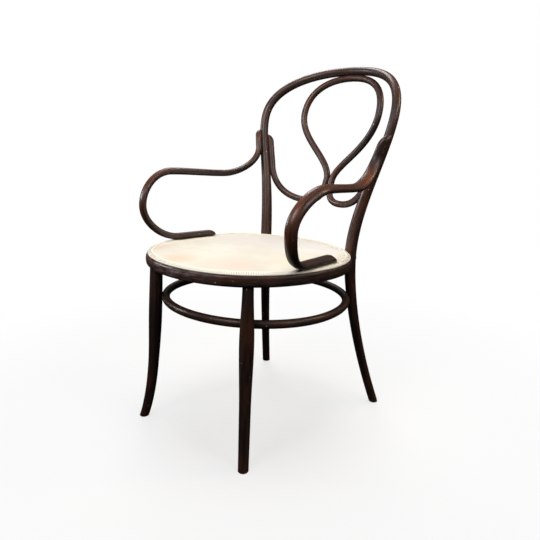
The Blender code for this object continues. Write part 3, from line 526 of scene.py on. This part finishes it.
rub(innerLoop, [(onBack(0.06, seat["height"] + 0.12), 0.08, front, 0.4),  # the lobes
                (onBack(-0.06, seat["height"] + 0.12), 0.08, front, 0.4),
                (onBack(-0.12, eye.z), 0.09, front, 0.35)])  # the left side of the teardrop
finish(innerLoop, beech, "dark_stained_beech", "inner_back_loop")
print("bow and loop bent")

# Arms: flat oval rods from the front of the posts over the rest and round down to the seat. The oval leans
# outwards.
arm = {"bite": 0.002, "lapRise": 0.277, "lap": 0.016, "lapTurn": math.radians(12), "thick": 0.0092,
       "dip": Vector((-0.0235, 0.103, 0.182)), "top": Vector((0.012, -0.0615, 0.1885)),
       "nose": Vector((0.005, -0.1632, 0.1)), "splay": math.radians(10.5), "handle": 0.05,
       "noseHandle": 0.0465, "tailStart": (-0.072, 0.0195), "tailEnd": (0.030, 0.0342), "tailRise": 0.0047,
       "endWidth": 0.0145, "restWidth": 0.016, "restAt": 0.35, "noseWidth": 0.0150, "noseAt": 0.65,
       "thickAt": (0, 0.3, 0.62, 0.9), "thickness": (0.0092, 0.0088, 0.0097, 0.0086),
       "tilt": math.radians(15), "tiltFrom": 0.08, "tiltFull": 0.25, "flatTurn": math.radians(48),
       "flatNose": math.radians(22), "endLength": 0.034, "endThin": 0.5, "tailRound": 0.023,
       "tailSquare": 0.4, "saddleUp": 0.2, "saddleBack": 0.1, "darkLeft": 0.2, "darkRight": 0.6,
       "darkUp": 0.09, "darkSoft": 0.08, "sides": 36, "steps": 34, "lapSteps": 12, "tailSteps": 16,
       "endSteps": 16}
armToward = Vector((math.sin(arm["lapTurn"]), -math.cos(arm["lapTurn"]), 0))
armFace = Vector((math.sin(arm["flatTurn"]), -math.cos(arm["flatTurn"]), 0))


def armLap(z):
    return postAt(z) + armToward * (postRadius(z) + arm["thick"] - arm["bite"])


def tailPoint(y, inset):
    return Vector((seatSideX(y) - inset, y, seat["height"] + arm["tailRise"] + arm["thick"]))


def armWidth(t):  # half width at a share of the arm's length, from the post
    if t < arm["restAt"]:
        return between(arm["endWidth"], arm["restWidth"], ease(t / arm["restAt"]))
    past = (t - arm["restAt"]) / (arm["noseAt"] - arm["restAt"])
    return between(arm["restWidth"], arm["noseWidth"], min(past, 1))


def armThick(t):  # half thickness, a little more at the nose
    return float(np.interp(t, arm["thickAt"], arm["thickness"]))


def armFlat(t):  # the wide way of the arm at a share of its length
    turn = between(arm["flatTurn"], arm["flatNose"], min(t / arm["noseAt"], 1))
    tilt = arm["tilt"] * ease((t - arm["tiltFrom"]) / (arm["tiltFull"] - arm["tiltFrom"]))
    return Vector((math.cos(turn), math.sin(turn), -math.tan(tilt)))


def armPostEnd(station, face):  # the end narrows to the side over the post, then thins on to it
    centre, along, flat, wide, thick = station
    made = []
    for k in range(1, arm["endSteps"] + 1):
        share = k / (arm["endSteps"] + 0.3)  # stops short of a point
        narrow = math.sqrt(1 - share**2)
        thin = math.sqrt(1 - (max(share - arm["endThin"], 0) / (1 - arm["endThin"]))**2)
        middle = centre - along * arm["endLength"] * share
        middle = middle + flat * wide * (1 - narrow) - face * thick * (1 - thin)
        made.append((middle, along, flat, wide * narrow, thick * thin))
    return made


def armClear(point):  # only the end on the post needs a saddle
    onEnd = point.z > seat["height"] + arm["saddleUp"] and point.y > arm["saddleBack"]
    return offPost(point) if onEnd else point


def armDarkLow(point):  # darker low down, near the seat, more at the right
    depth = arm["darkLeft"] if point.x < 0 else arm["darkRight"]
    return depth * ease((seat["height"] + arm["darkUp"] - point.z) / arm["darkSoft"])


seatSide = Vector((seat["halfWidth"], 0, seat["height"]))
armTop = seat["height"] + arm["lapRise"]
armLine = [armLap(armTop - arm["lap"] * k / arm["lapSteps"]) for k in range(arm["lapSteps"] + 1)]
lapDown = (armLine[-1] - armLine[-2]).normalized() * arm["handle"]
dip, restTop, nose = [arm[key] + seatSide for key in ("dip", "top", "nose")]
ahead = Vector((math.sin(arm["splay"]), -math.cos(arm["splay"]), 0)) * arm["handle"]
tailStart = tailPoint(*arm["tailStart"])
tailEnd = tailPoint(*arm["tailEnd"])
behind = (tailEnd - tailStart).normalized() * arm["handle"]
drop = -up * arm["noseHandle"]
lapEnd = armLine.pop()
for ends in ((lapEnd, lapEnd + lapDown, dip - ahead, dip), (dip, dip + ahead, restTop - ahead, restTop),
             (restTop, restTop + ahead, nose - drop, nose),
             (nose, nose + drop, tailStart - behind, tailStart)):
    armLine += bend(*ends, arm["steps"])
armLine += [tailStart.lerp(tailEnd, k / arm["tailSteps"]) for k in range(arm["tailSteps"] + 1)]
for side, name in ((-1, "left"), (1, "right")):
    line = [mirrored(p, side) for p in armLine]
    stations = []
    for k, (p, d) in enumerate(zip(line, directions(line))):
        share = k / (len(line) - 1)
        stations.append((p, d, mirrored(armFlat(share), side), armWidth(share), armThick(share)))
    postTip = armPostEnd(stations[0], mirrored(armFace, side))
    tailTip = domed(stations[-1], 1, arm["tailRound"], -up, arm["tailSquare"])
    piece = bendRod("bentArm_" + name, postTip[::-1] + stations + tailTip, arm["sides"], clear=armClear)
    knuckle = nose + Vector((0, 0.04, 0.06))  # where the hand rests
    rub(piece, [(mirrored(restTop, side), 0.09, up, 0.45), (mirrored(dip, side), 0.09, up, 0.3),
                (mirrored(nose, side), 0.07, front, 0.5),
                (mirrored(knuckle, side), 0.07, Vector((0, -0.8, 0.6)), 0.6)], armDarkLow)
    finish(piece, beech, "dark_stained_beech", "arm_" + name)
print("arms bent")

# Seat hoop: a wide bent ring with rounded outer edges and a rebate for the board. Along its top edge it has
# dirt and painted shade in the crevice under the band, less at the left, where the light falls, and a painted
# highlight at the front.
hoop = {"round": 0.008, "belly": 0.0006, "ledge": 0.007, "ledgeDown": 0.0053, "soft": 0.0012, "steps": 220,
        "roundSteps": 8, "darkening": 0.15, "dirtAndShade": 0.45, "dirtAndShadeVary": 0.5, "dirtAndShadePerMetre": 18, "dirtAndShadeDown": 0.008,
        "dirtAndShadeSoft": 0.004, "leftLess": 0.85, "lessFrom": 0.06, "lessOver": 0.1, "highlightTurn": 0.05,
        "highlightDown": 0.006, "highlightReach": 0.085, "highlightFacing": Vector((-0.2, -0.8, 0.55))}
section = []
for k in range(hoop["roundSteps"] + 1):
    turn = math.pi / 2 * k / hoop["roundSteps"]
    section.append((hoop["round"] * (1 - math.sin(turn)), hoop["round"] * (1 - math.cos(turn))))
section.append((-hoop["belly"], seat["hoopHeight"] / 2))
section += [(u, seat["hoopHeight"] - v) for u, v in section[-2::-1]]
inner = seat["hoopWidth"] - hoop["ledge"]
ledgeUp = seat["hoopHeight"] - hoop["ledgeDown"]
section += [(inner - hoop["soft"], seat["hoopHeight"]), (inner, seat["hoopHeight"] - hoop["soft"]),
            (inner, ledgeUp), (seat["hoopWidth"], ledgeUp), (seat["hoopWidth"], hoop["soft"]),
            (seat["hoopWidth"] - hoop["soft"], 0)]
rings = []
billet = []
run = 0.0
for k in range(hoop["steps"]):
    turn = 2 * math.pi * k / hoop["steps"]
    run += (seatEdge(turn) - seatEdge(turn - 2 * math.pi / hoop["steps"])).length
    rings.append([place(seatInset(turn, u, hoopBottom + v)) for u, v in section])
    billet += [(run, u, v) for u, v in section]
seatHoop = skin("seatHoop", rings, True, 35)
keepGrain(seatHoop, billet)
# the whole hoop is made a little darker and duller
rub(seatHoop, [(seatInset(0.5, 0, seat["height"]), 0.16, Vector((0, -0.6, 0.8)), 0.5),  # front right
               (seatInset(-0.6, 0, seat["height"]), 0.10, Vector((0, -0.6, 0.8)), 0.5),  # front left
               (seatInset(0.1, 0, hoopMiddle), 0.12, front, 0.35)], lambda point: hoop["darkening"])
# painted sheen over the whole hoop, and a painted highlight at its front, on faces turned up, forward and a
# little left
paintedSheenAmounts = seatHoop.data.attributes.new("paintedSheenAmount", "FLOAT", "POINT")
darkened = seatHoop.data.attributes["grimeAndShade"]
highlightAt = place(seatInset(hoop["highlightTurn"], 0, seat["height"] - hoop["highlightDown"]))
for vertex, (run, u, v) in zip(seatHoop.data.vertices, billet):
    near = math.exp(-((vertex.co - highlightAt).length / hoop["highlightReach"])**2)
    paintedSheenAmounts.data[vertex.index].value = 1 + near * max(0, vertex.normal.dot(hoop["highlightFacing"]))
    # dirt and painted shade along the top edge, in the crevice under the band, less at the left, where the
    # light falls
    dirtAndShade = hoop["dirtAndShade"] + hoop["dirtAndShadeVary"] * noise.noise((run * hoop["dirtAndShadePerMetre"], 0, 0))
    dirtAndShade *= ease((v - seat["hoopHeight"] + hoop["dirtAndShadeDown"]) / hoop["dirtAndShadeSoft"])
    dirtAndShade *= 1 - hoop["leftLess"] * ease((hoop["lessFrom"] - vertex.co.x) / hoop["lessOver"])
    darkened.data[vertex.index].value = max(darkened.data[vertex.index].value, dirtAndShade)
finish(seatHoop, beech, "dark_stained_beech", "seat_hoop")

# Front legs: turned, oval at the top, with a swell above the stretcher and a foot that kicks out.
leg = {"turn": math.radians(44.3), "inset": 0.0225, "splay": 0.015, "sabre": 0.0255, "power": 5,
       "topRound": 0.013, "topDeep": 0.0165, "swell": 0.0175, "swellAt": 0.31, "ankle": 0.014,
       "ankleAt": 0.69, "foot": 0.01275, "chamfer": 0.0015, "darkening": 0.3, "sides": 36, "steps": 90}


def legAt(z):
    fall = (hoopBottom - z) / hoopBottom
    reach = leg["splay"] * fall + leg["sabre"] * fall**leg["power"]
    outward = Vector((math.sin(leg["turn"]), -math.cos(leg["turn"]), 0))
    return seatInset(leg["turn"], leg["inset"], z) + outward * reach


def legSizes(z):
    fall = (hoopBottom - z) / hoopBottom
    if fall < leg["swellAt"]:
        t = ease(fall / leg["swellAt"])
        return [between(leg[key], leg["swell"], t) for key in ("topDeep", "topRound")]
    if fall < leg["ankleAt"]:
        t = ease((fall - leg["swellAt"]) / (leg["ankleAt"] - leg["swellAt"]))
        return [between(leg["swell"], leg["ankle"], t)] * 2
    return [between(leg["ankle"], leg["foot"], (fall - leg["ankleAt"]) / (1 - leg["ankleAt"]))] * 2


levels = [(0, leg["chamfer"])]
levels += [(between(leg["chamfer"], hoopBottom, k / leg["steps"]), 0) for k in range(leg["steps"] + 1)]
for side, name in ((-1, "left"), (1, "right")):
    out = mirrored(seatOut(leg["turn"]), side)
    stations = []
    for z, trim in levels:
        deep, wide = legSizes(z)
        stations.append((mirrored(legAt(z), side), up, out, deep - trim, wide - trim))
    piece = bendRod("frontLeg_" + name, stations, leg["sides"])
    # painted shade: the whole leg is made darker and duller, down in the seat's shade
    rub(piece, [(mirrored(legAt(0), side), 0.03, None, 0.5), (mirrored(legAt(0.3), side), 0.07, out, 0.3)],
        lambda point: leg["darkening"])
    finish(piece, beech, "dark_stained_beech", "front_leg_" + name)

# Stretcher: a round hoop that lies against the inner side of the four legs.
tie = {"height": 0.339, "halfWidth": 0.241, "radius": 0.0105, "bite": 0.002, "darkening": 0.35, "sides": 28,
       "steps": 220}


def tieDepth(middle, radius):
    level = Vector((middle.x, middle.y, 0))
    touch = level - level.normalized() * (radius + tie["radius"] - tie["bite"])
    return abs(touch.y) / math.sqrt(1 - (touch.x / tie["halfWidth"])**2)


def offLegs(point):  # shallow saddles where the hoop passes the legs
    side = math.copysign(1, point.x)
    z = point.z
    for middle, radius in ((legAt(z), legSizes(z)[0]), (postAt(z), postRadius(z))):
        point = offRound(point, mirrored(middle, side), radius)
    return point


tieFront = tieDepth(legAt(tie["height"]), legSizes(tie["height"])[0])
tieRear = tieDepth(postAt(tie["height"]), postRadius(tie["height"]))
tieLine = []
for k in range(tie["steps"]):
    turn = 2 * math.pi * k / tie["steps"]
    depth = tieFront if math.cos(turn) > 0 else tieRear
    tieLine.append(Vector((tie["halfWidth"] * math.sin(turn), -depth * math.cos(turn), tie["height"])))
stations = [(p, d, up, tie["radius"], tie["radius"]) for p, d in zip(tieLine, directions(tieLine, True))]
stretcher = bendRod("stretcherHoop", stations, tie["sides"], closed=True, clear=offLegs)
# painted shade: the whole stretcher is made darker and duller, down in the seat's shade
rub(stretcher, [(Vector((0, -tieFront, tie["height"])), 0.13, Vector((0, -0.5, 0.85)), 0.6),
                (Vector((tie["halfWidth"], 0, tie["height"])), 0.1, up, 0.35)], lambda point: tie["darkening"])
finish(stretcher, beech, "dark_stained_beech", "stretcher_hoop")
print("hoop, legs and stretcher made")

# Seat leather over its thin pad, sewn into a band along the edge. It swells a little as cloth, has shallow
# dents, gathers along the edge, and gives way under the tails of the arms.
cover = {"inset": 0.0165, "edge": 0.0050, "middle": 0.0122, "fullness": 1.5, "cells": 92, "pin": 0.965,
         "frames": 20, "most": 0.002, "dent": 0.0007, "dentAcross": 0.11, "dentFrom": 0.2, "gather": 0.0004,
         "gatherAcross": 0.032, "gatherRadius": 0.26, "gatherWander": 3, "wanderAcross": 0.1,
         "gatherFrom": 0.05, "gatherTo": 0.25, "gatherFade": 0.2, "rimDown": 0.0042}
hideCloth = {"quality": 6, "mass": 0.1, "tension_stiffness": 40, "compression_stiffness": 40,
             "shear_stiffness": 20, "bending_stiffness": 8, "vertex_group_mass": "held", "use_pressure": True,
             "uniform_pressure_force": 4.0}
tailReach = {"start": -0.077, "end": 0.050, "soft": 0.012, "height": 0.0040, "squeeze": 0.92}


def underTail(point):  # share of the arm's weight on the upholstery at a place of the seat
    (startY, startIn), (endY, endIn) = arm["tailStart"], arm["tailEnd"]
    y = min(max(point.y, startY), endY)
    inset = between(startIn, endIn, (y - startY) / (endY - startY))
    across = abs(abs(point.x) - seatSideX(y) + inset)
    beside = ease(1 - (across - arm["noseWidth"]) / tailReach["soft"])
    behindStart = ease((point.y - tailReach["start"]) / tailReach["soft"] + 1)
    return beside * behindStart * ease((tailReach["end"] - point.y) / tailReach["soft"] + 1)


def pressed(point):
    over = max(0.0, point.z - seat["height"] - tailReach["height"])
    return point - up * over * underTail(point) * tailReach["squeeze"]


bpy.ops.object.select_all(action="DESELECT")
bpy.ops.mesh.primitive_grid_add(x_subdivisions=cover["cells"], y_subdivisions=cover["cells"], size=2)
seatLeather = bpy.context.object
seatLeather.name = "seatLeather"
held = seatLeather.vertex_groups.new(name="held")
flat = []  # places in the level seat, before the lean
for v in seatLeather.data.vertices:
    x = v.co.x * math.sqrt(1 - v.co.y**2 / 2)  # square to disc
    y = v.co.y * math.sqrt(1 - v.co.x**2 / 2)
    reach = min(math.hypot(x, y), 1.0)
    crownUp = (1 - reach**2)**cover["fullness"] if reach < 1 else 0.0
    point = seatInset(math.atan2(x, -y), cover["inset"]) * reach
    point.z = seat["height"] + between(cover["edge"], cover["middle"], crownUp)
    flat.append((point, reach))
    v.co = point
    held.add([v.index], 1.0 if reach > cover["pin"] else 0.0, "REPLACE")
cloth = seatLeather.modifiers.new("Cloth", "CLOTH")
for key, value in hideCloth.items():
    setattr(cloth.settings, key, value)
cloth.settings.effector_weights.gravity = 0
cloth.point_cache.frame_start = 1
cloth.point_cache.frame_end = cover["frames"]
for f in range(1, cover["frames"] + 1):
    bpy.context.scene.frame_set(f)
bpy.ops.object.modifier_apply(modifier="Cloth")
bpy.context.scene.frame_set(1)
moved = [(v.co - flat[v.index][0]).length for v in seatLeather.data.vertices]
print("leather: greatest move", round(max(moved) * 1000, 2), "mm")
for v in seatLeather.data.vertices:
    start, reach = flat[v.index]
    move = v.co - start
    point = start + move * min(1.0, cover["most"] / max(move.length, 1e-9))
    inFrom = 1 - reach
    dent = noise.noise(point / cover["dentAcross"]) * cover["dent"] * ease(inFrom / cover["dentFrom"])
    wander = cover["gatherWander"] * noise.noise(point / cover["wanderAcross"])
    turn = math.atan2(start.x, -start.y)
    ridge = math.sin(turn * math.pi * cover["gatherRadius"] / cover["gatherAcross"] + wander)
    ridge *= ease(inFrom / cover["gatherFrom"]) * ease((cover["gatherTo"] - inFrom) / cover["gatherFade"])
    v.co = place(pressed(point + up * (dent + cover["gather"] * ridge)))
bpy.ops.object.mode_set(mode="EDIT")
bpy.ops.mesh.select_all(action="SELECT")
bpy.ops.mesh.subdivide(number_cuts=1, smoothness=1)
bpy.ops.mesh.select_all(action="DESELECT")
bpy.ops.mesh.select_non_manifold()
drawOut(-cover["rimDown"])  # the edge turns down under the band
bpy.ops.mesh.edge_face_add()  # the pad's flat underside
bpy.ops.object.mode_set(mode="OBJECT")
bpy.ops.object.shade_smooth_by_angle(angle=math.radians(50))
finish(seatLeather, leather, "cream_leather", "seat_cover", "seat_padding")

# Sewn band: folded leather that slopes to the hoop, with a cord along its inner edge, drawn in at each
# stitch. Its section has insets and heights in mm.
band = {"pitch": 0.0054, "pitchInset": 0.010, "perStitch": 6, "groove": 0.0005, "grooveFrom": 0.0055,
        "grooveTo": 0.0142, "grooveSoft": 0.002, "grooveAbove": 0.001, "pinchPower": 8, "paintedLight": 0.8,
        "marks": 1441,
        "section": [(4.3, -0.7), (3.9, -0.1), (4.2, 1.2), (5.1, 2.3), (7.0, 3.5), (9.2, 4.5), (11.6, 5.3),
                    (13.6, 5.8), (14.6, 6.0), (15.4, 6.4), (16.4, 6.6), (17.4, 6.3), (18.0, 5.7), (18.0, 4.6),
                    (16.0, 3.0), (10.0, 0.2)]}
turns = np.linspace(-math.pi, math.pi, band["marks"])
edgePoints = np.array([seatInset(t, band["pitchInset"]) for t in turns])
lengths = np.concatenate([[0], np.cumsum(np.linalg.norm(np.diff(edgePoints, axis=0), axis=1))])
stitches = round(lengths[-1] / band["pitch"])
around = stitches * band["perStitch"]


def bandPoint(k, inset, height):  # a point of the band, at a step round the seat
    turn = float(np.interp(lengths[-1] * (k % around) / around, lengths, turns))
    if height > band["grooveAbove"]:
        pinch = math.cos(math.pi * k / band["perStitch"])**band["pinchPower"]
        pinch *= ease((inset - band["grooveFrom"]) / band["grooveSoft"] + 1)
        pinch *= ease((band["grooveTo"] - inset) / band["grooveSoft"] + 1)
        height -= band["groove"] * pinch
    return place(pressed(seatInset(turn, inset, seat["height"] + height)))


rings = [[bandPoint(k, u / 1000, v / 1000) for u, v in band["section"]] for k in range(around)]
seatBand = skin("seatBand", rings, True, 180)
# painted light: the share of the paler band colour, standing for light that its sloping faces miss
paintedBandLight = seatBand.data.attributes.new("paintedBandLight", "FLOAT", "POINT")
paintedBandLight.data.foreach_set("value", [band["paintedLight"]] * len(seatBand.data.vertices))
finish(seatBand, leather, "cream_leather", "seat_border")

# One stitch across the band, modelled once and copied into every groove.
stitch = {"radius": 0.0005, "sides": 8, "length": 0.0078, "tip": 0.1, "narrow": 0.45,
          "from": (0.0060, 0.0030), "to": (0.0138, 0.0060), "lift": 0.0002}
bpy.ops.object.select_all(action="DESELECT")
bpy.ops.mesh.primitive_cylinder_add(vertices=stitch["sides"], radius=stitch["radius"],
                                    depth=stitch["length"] * (1 - 2 * stitch["tip"]))
seatStitches = bpy.context.object
for end in (-1, 1):  # each end is drawn out and narrowed, where the thread goes into the leather
    pickEnd(seatStitches, end)
    drawOut(end * stitch["length"] * stitch["tip"], stitch["narrow"])
    bpy.ops.object.mode_set(mode="OBJECT")
bpy.ops.object.shade_smooth()
copies = [seatStitches] + [copied(seatStitches) for _ in range(stitches - 1)]
for k, copy in enumerate(copies):
    low = bandPoint(k * band["perStitch"], *stitch["from"])
    high = bandPoint(k * band["perStitch"], *stitch["to"])
    aim = (high - low).to_track_quat("Z", "Y").to_matrix().to_4x4()
    copy.data.transform(Matrix.Translation((low + high) / 2 + up * stitch["lift"]) @ aim)
    copy.select_set(True)
bpy.context.view_layer.objects.active = seatStitches
bpy.ops.object.join()
seatStitches.name = "seatStitches"
finish(seatStitches, thread, "cream_leather")
print("seat made:", stitches, "stitches")


def lowDome(radius, rise, segments):  # half a flattened sphere, in edit mode with its flat side picked
    bpy.ops.object.select_all(action="DESELECT")
    bpy.ops.mesh.primitive_uv_sphere_add(segments=segments, ring_count=segments // 2, radius=radius)
    dome = bpy.context.object
    bpy.ops.object.mode_set(mode="EDIT")
    bpy.ops.mesh.select_all(action="SELECT")
    bpy.ops.mesh.bisect(plane_co=(0, 0, 0), plane_no=(0, 0, 1), use_fill=True, clear_inner=True)
    bpy.ops.mesh.select_all(action="SELECT")
    bpy.ops.transform.resize(value=(1, 1, rise / radius), center_override=(0, 0, 0))
    pickEnd(dome, -1)
    return dome


def screwAxis(name):  # middle of the head's face and the way that the screw points, from its CAD node
    points = np.array([v.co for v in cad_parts[name].data.vertices])
    middle = points.mean(0)
    axis = np.linalg.svd(points - middle)[2][0]
    along = (points - middle) @ axis
    off = np.linalg.norm(points - middle - np.outer(along, axis), axis=1)
    low = off[along < along.min() + 0.001].mean()  # within 1 mm of each end, to see which is the head
    high = off[along > along.max() - 0.001].mean()
    if low > high:
        return Vector(middle + axis * along.min()), Vector(axis)
    return Vector(middle + axis * along.max()), Vector(-axis)


def setFastener(model, name, node, sunk, spin=0.0):  # a copy on the axis of its CAD node
    start, axis = screwAxis(node)
    piece = copied(model)
    piece.name = name
    aim = (-axis).to_track_quat("Z", "Y").to_matrix().to_4x4()
    piece.data.transform(Matrix.Translation(start + axis * sunk) @ aim @ Matrix.Rotation(spin, 4, "Z"))
    finish(piece, iron, "steel", node)


# Screws: raised slotted heads, modelled once and set on the axis of each CAD screw.
head = {"radius": 0.0039, "rise": 0.0011, "slot": 0.0010, "slotDeep": 0.0007, "neck": 0.004,
        "neckNarrow": 0.5, "armProud": 0.0007, "segments": 28}
screwHead = lowDome(head["radius"], head["rise"], head["segments"])
drawOut(-head["neck"], head["neckNarrow"])  # the neck goes down into the wood
bpy.ops.object.mode_set(mode="OBJECT")
bpy.ops.mesh.primitive_cube_add(size=1, location=(0, 0, head["rise"]))
slotCutter = bpy.context.object
slotCutter.scale = (head["radius"] * 3, head["slot"], head["slotDeep"] * 2)
cutSlot = screwHead.modifiers.new("Slot", "BOOLEAN")
cutSlot.operation = "DIFFERENCE"
cutSlot.object = slotCutter
selectOnly(screwHead)
bpy.ops.object.modifier_apply(modifier="Slot")
bpy.ops.object.shade_smooth_by_angle(angle=math.radians(35))
bpy.data.objects.remove(slotCutter)
for node in sorted(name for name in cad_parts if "screw" in name):
    proud = head["armProud"] if "arm_post" in node else 0
    setFastener(screwHead, "head_" + node, node, -proud, random.uniform(0, math.pi))
bpy.data.objects.remove(screwHead)

# Bolts: a low round head let into the back of each post, and a shank through to the nut. In the CAD the
# head stands proud by its height.
bolt = {"radius": 0.008, "rise": 0.0027, "cadHead": 0.0035, "sunk": 0.0021, "shank": 0.0035,
        "chamfer": 0.0008, "endNarrow": 0.7, "segments": 36}
boltSunk = bolt["cadHead"] + bolt["sunk"]
boltStart, boltAxis = screwAxis("post_bolt_left")
boltLength = max((v.co - boltStart).dot(boltAxis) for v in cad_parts["post_bolt_left"].data.vertices)
coachBolt = lowDome(bolt["radius"], bolt["rise"], bolt["segments"])
bpy.ops.mesh.inset(thickness=bolt["radius"] - bolt["shank"])
drawOut(boltSunk + bolt["chamfer"] - boltLength)
drawOut(-bolt["chamfer"], bolt["endNarrow"])
bpy.ops.object.mode_set(mode="OBJECT")
bpy.ops.object.shade_smooth_by_angle(angle=math.radians(35))
for side in ("left", "right"):
    setFastener(coachBolt, "coachBolt_" + side, "post_bolt_" + side, boltSunk)
bpy.data.objects.remove(coachBolt)
for name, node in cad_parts.items():
    if name.startswith("post_"):
        dress(node, iron)
dress(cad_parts["seat_board"], ply)
print("screws and bolts set")

# Stage: a pale floor that runs out to white. It throws little light back, which keeps the undersides as
# dark as in the photo.
paper = material("floor_paper")
floorAt = addNode(paper, "TexCoord", {}, "Object")
fibre = addNode(paper, "TexNoise", {"Vector": floorAt, "Scale": 60, "Detail": 2})
direct = addNode(paper, "LightPath", {}, "Is Camera Ray")
pale = addNode(paper, "Mix", {mixShare: fibre, mixUnder: "#f2f2f1", mixOver: "#f6f6f5"}, **mixing)
bounce = addNode(paper, "Mix", {mixShare: direct, mixUnder: "#2a2928", mixOver: pale}, **mixing)
setSockets(shaderOf(paper), {"Base Color": bounce, "Roughness": 0.95, "Specular IOR Level": 0.0})
farOff = addNode(paper, "VectorMath", {0: floorAt}, "Value", operation="LENGTH")
farShare = addNode(paper, "MapRange", {"Value": farOff, "From Min": 0.1, "From Max": 1.3, "To Min": 0.68},
                   interpolation_type="SMOOTHSTEP")
whiten = addNode(paper, "Math", {0: farShare, 1: direct}, operation="MULTIPLY")
glow = addNode(paper, "Emission", {"Color": "#ffffff", "Strength": 1.0})
surface = addNode(paper, "MixShader", {0: whiten, 1: shaderOf(paper).outputs[0], 2: glow})
setSockets(paper.node_tree.nodes["Material Output"], {"Surface": surface})
bpy.ops.mesh.primitive_circle_add(vertices=96, radius=9, fill_type="NGON", location=(0, 0, 0))
floor = bpy.context.object
floor.name = "floor"
floor.data.materials.append(paper)

world = bpy.data.worlds.new("studio")
bpy.context.scene.world = world
world.use_nodes = True
seen = addNode(world, "LightPath", {}, "Is Camera Ray")
lit = addNode(world, "Background", {"Color": "#ffffff", "Strength": 0.05})
plain = addNode(world, "Background", {"Color": "#ffffff", "Strength": 1.0})
both = addNode(world, "MixShader", {0: seen, 1: lit, 2: plain})
setSockets(world.node_tree.nodes["World Output"], {"Surface": both})

# Soft lamps: place, height that it aims at, size, watts, spread and colour.
lights = {"key": ((0.2, -2.0, 2.4), 0.88, 1.2, 2.9, 48, "#ffffff"),
          "window": ((-2.2, -1.4, 1.5), 0.85, 1.0, 1.7, 36, "#ffffff"),
          "fill": ((2.2, 0.0, 2.2), 0.85, 1.0, 2.2, 55, "#ffffff"),
          "top": ((-0.1, 0.05, 3.0), 0.6, 1.8, 12.6, 80, "#ffffff"),
          "back": ((-1.5, 1.1, 2.6), 0.6, 1.2, 4.4, 75, "#ffffff"),
          "rim": ((1.5, 1.6, 2.2), 0.85, 0.9, 2.1, 55, "#ffdcb8")}
for name, (spot, aimAt, size, power, spread, code) in lights.items():
    data = bpy.data.lights.new(name, "AREA")
    data.shape = "DISK"
    data.size = size
    data.energy = power
    data.spread = math.radians(spread)
    data.color = linear(code)[:3]
    lamp = bpy.data.objects.new(name, data)
    lamp.visible_glossy = name != "top"  # the lamp overhead would grey the polish
    bpy.context.collection.objects.link(lamp)
    lamp.location = spot
    lamp.rotation_euler = (Vector((0, 0, aimAt)) - Vector(spot)).to_track_quat("-Z", "Y").to_euler()

# Camera: the photo's own place, from the front right and a little above the seat.
view = {"place": (1.0563, -1.1416, 0.8057), "turn": (73.091, -0.961, 42.165), "lens": 39.049, "sensor": 36,
        "shift": (-0.0195, 0.0424)}
eyeData = bpy.data.cameras.new("photo")
eyeData.lens = view["lens"]
eyeData.sensor_width = view["sensor"]
eyeData.shift_x, eyeData.shift_y = view["shift"]
camera = bpy.data.objects.new("photo", eyeData)
bpy.context.collection.objects.link(camera)
camera.location = view["place"]
camera.rotation_euler = [math.radians(a) for a in view["turn"]]
bpy.context.scene.camera = camera
bpy.context.scene.view_settings.view_transform = "Standard"
print("stage lit")
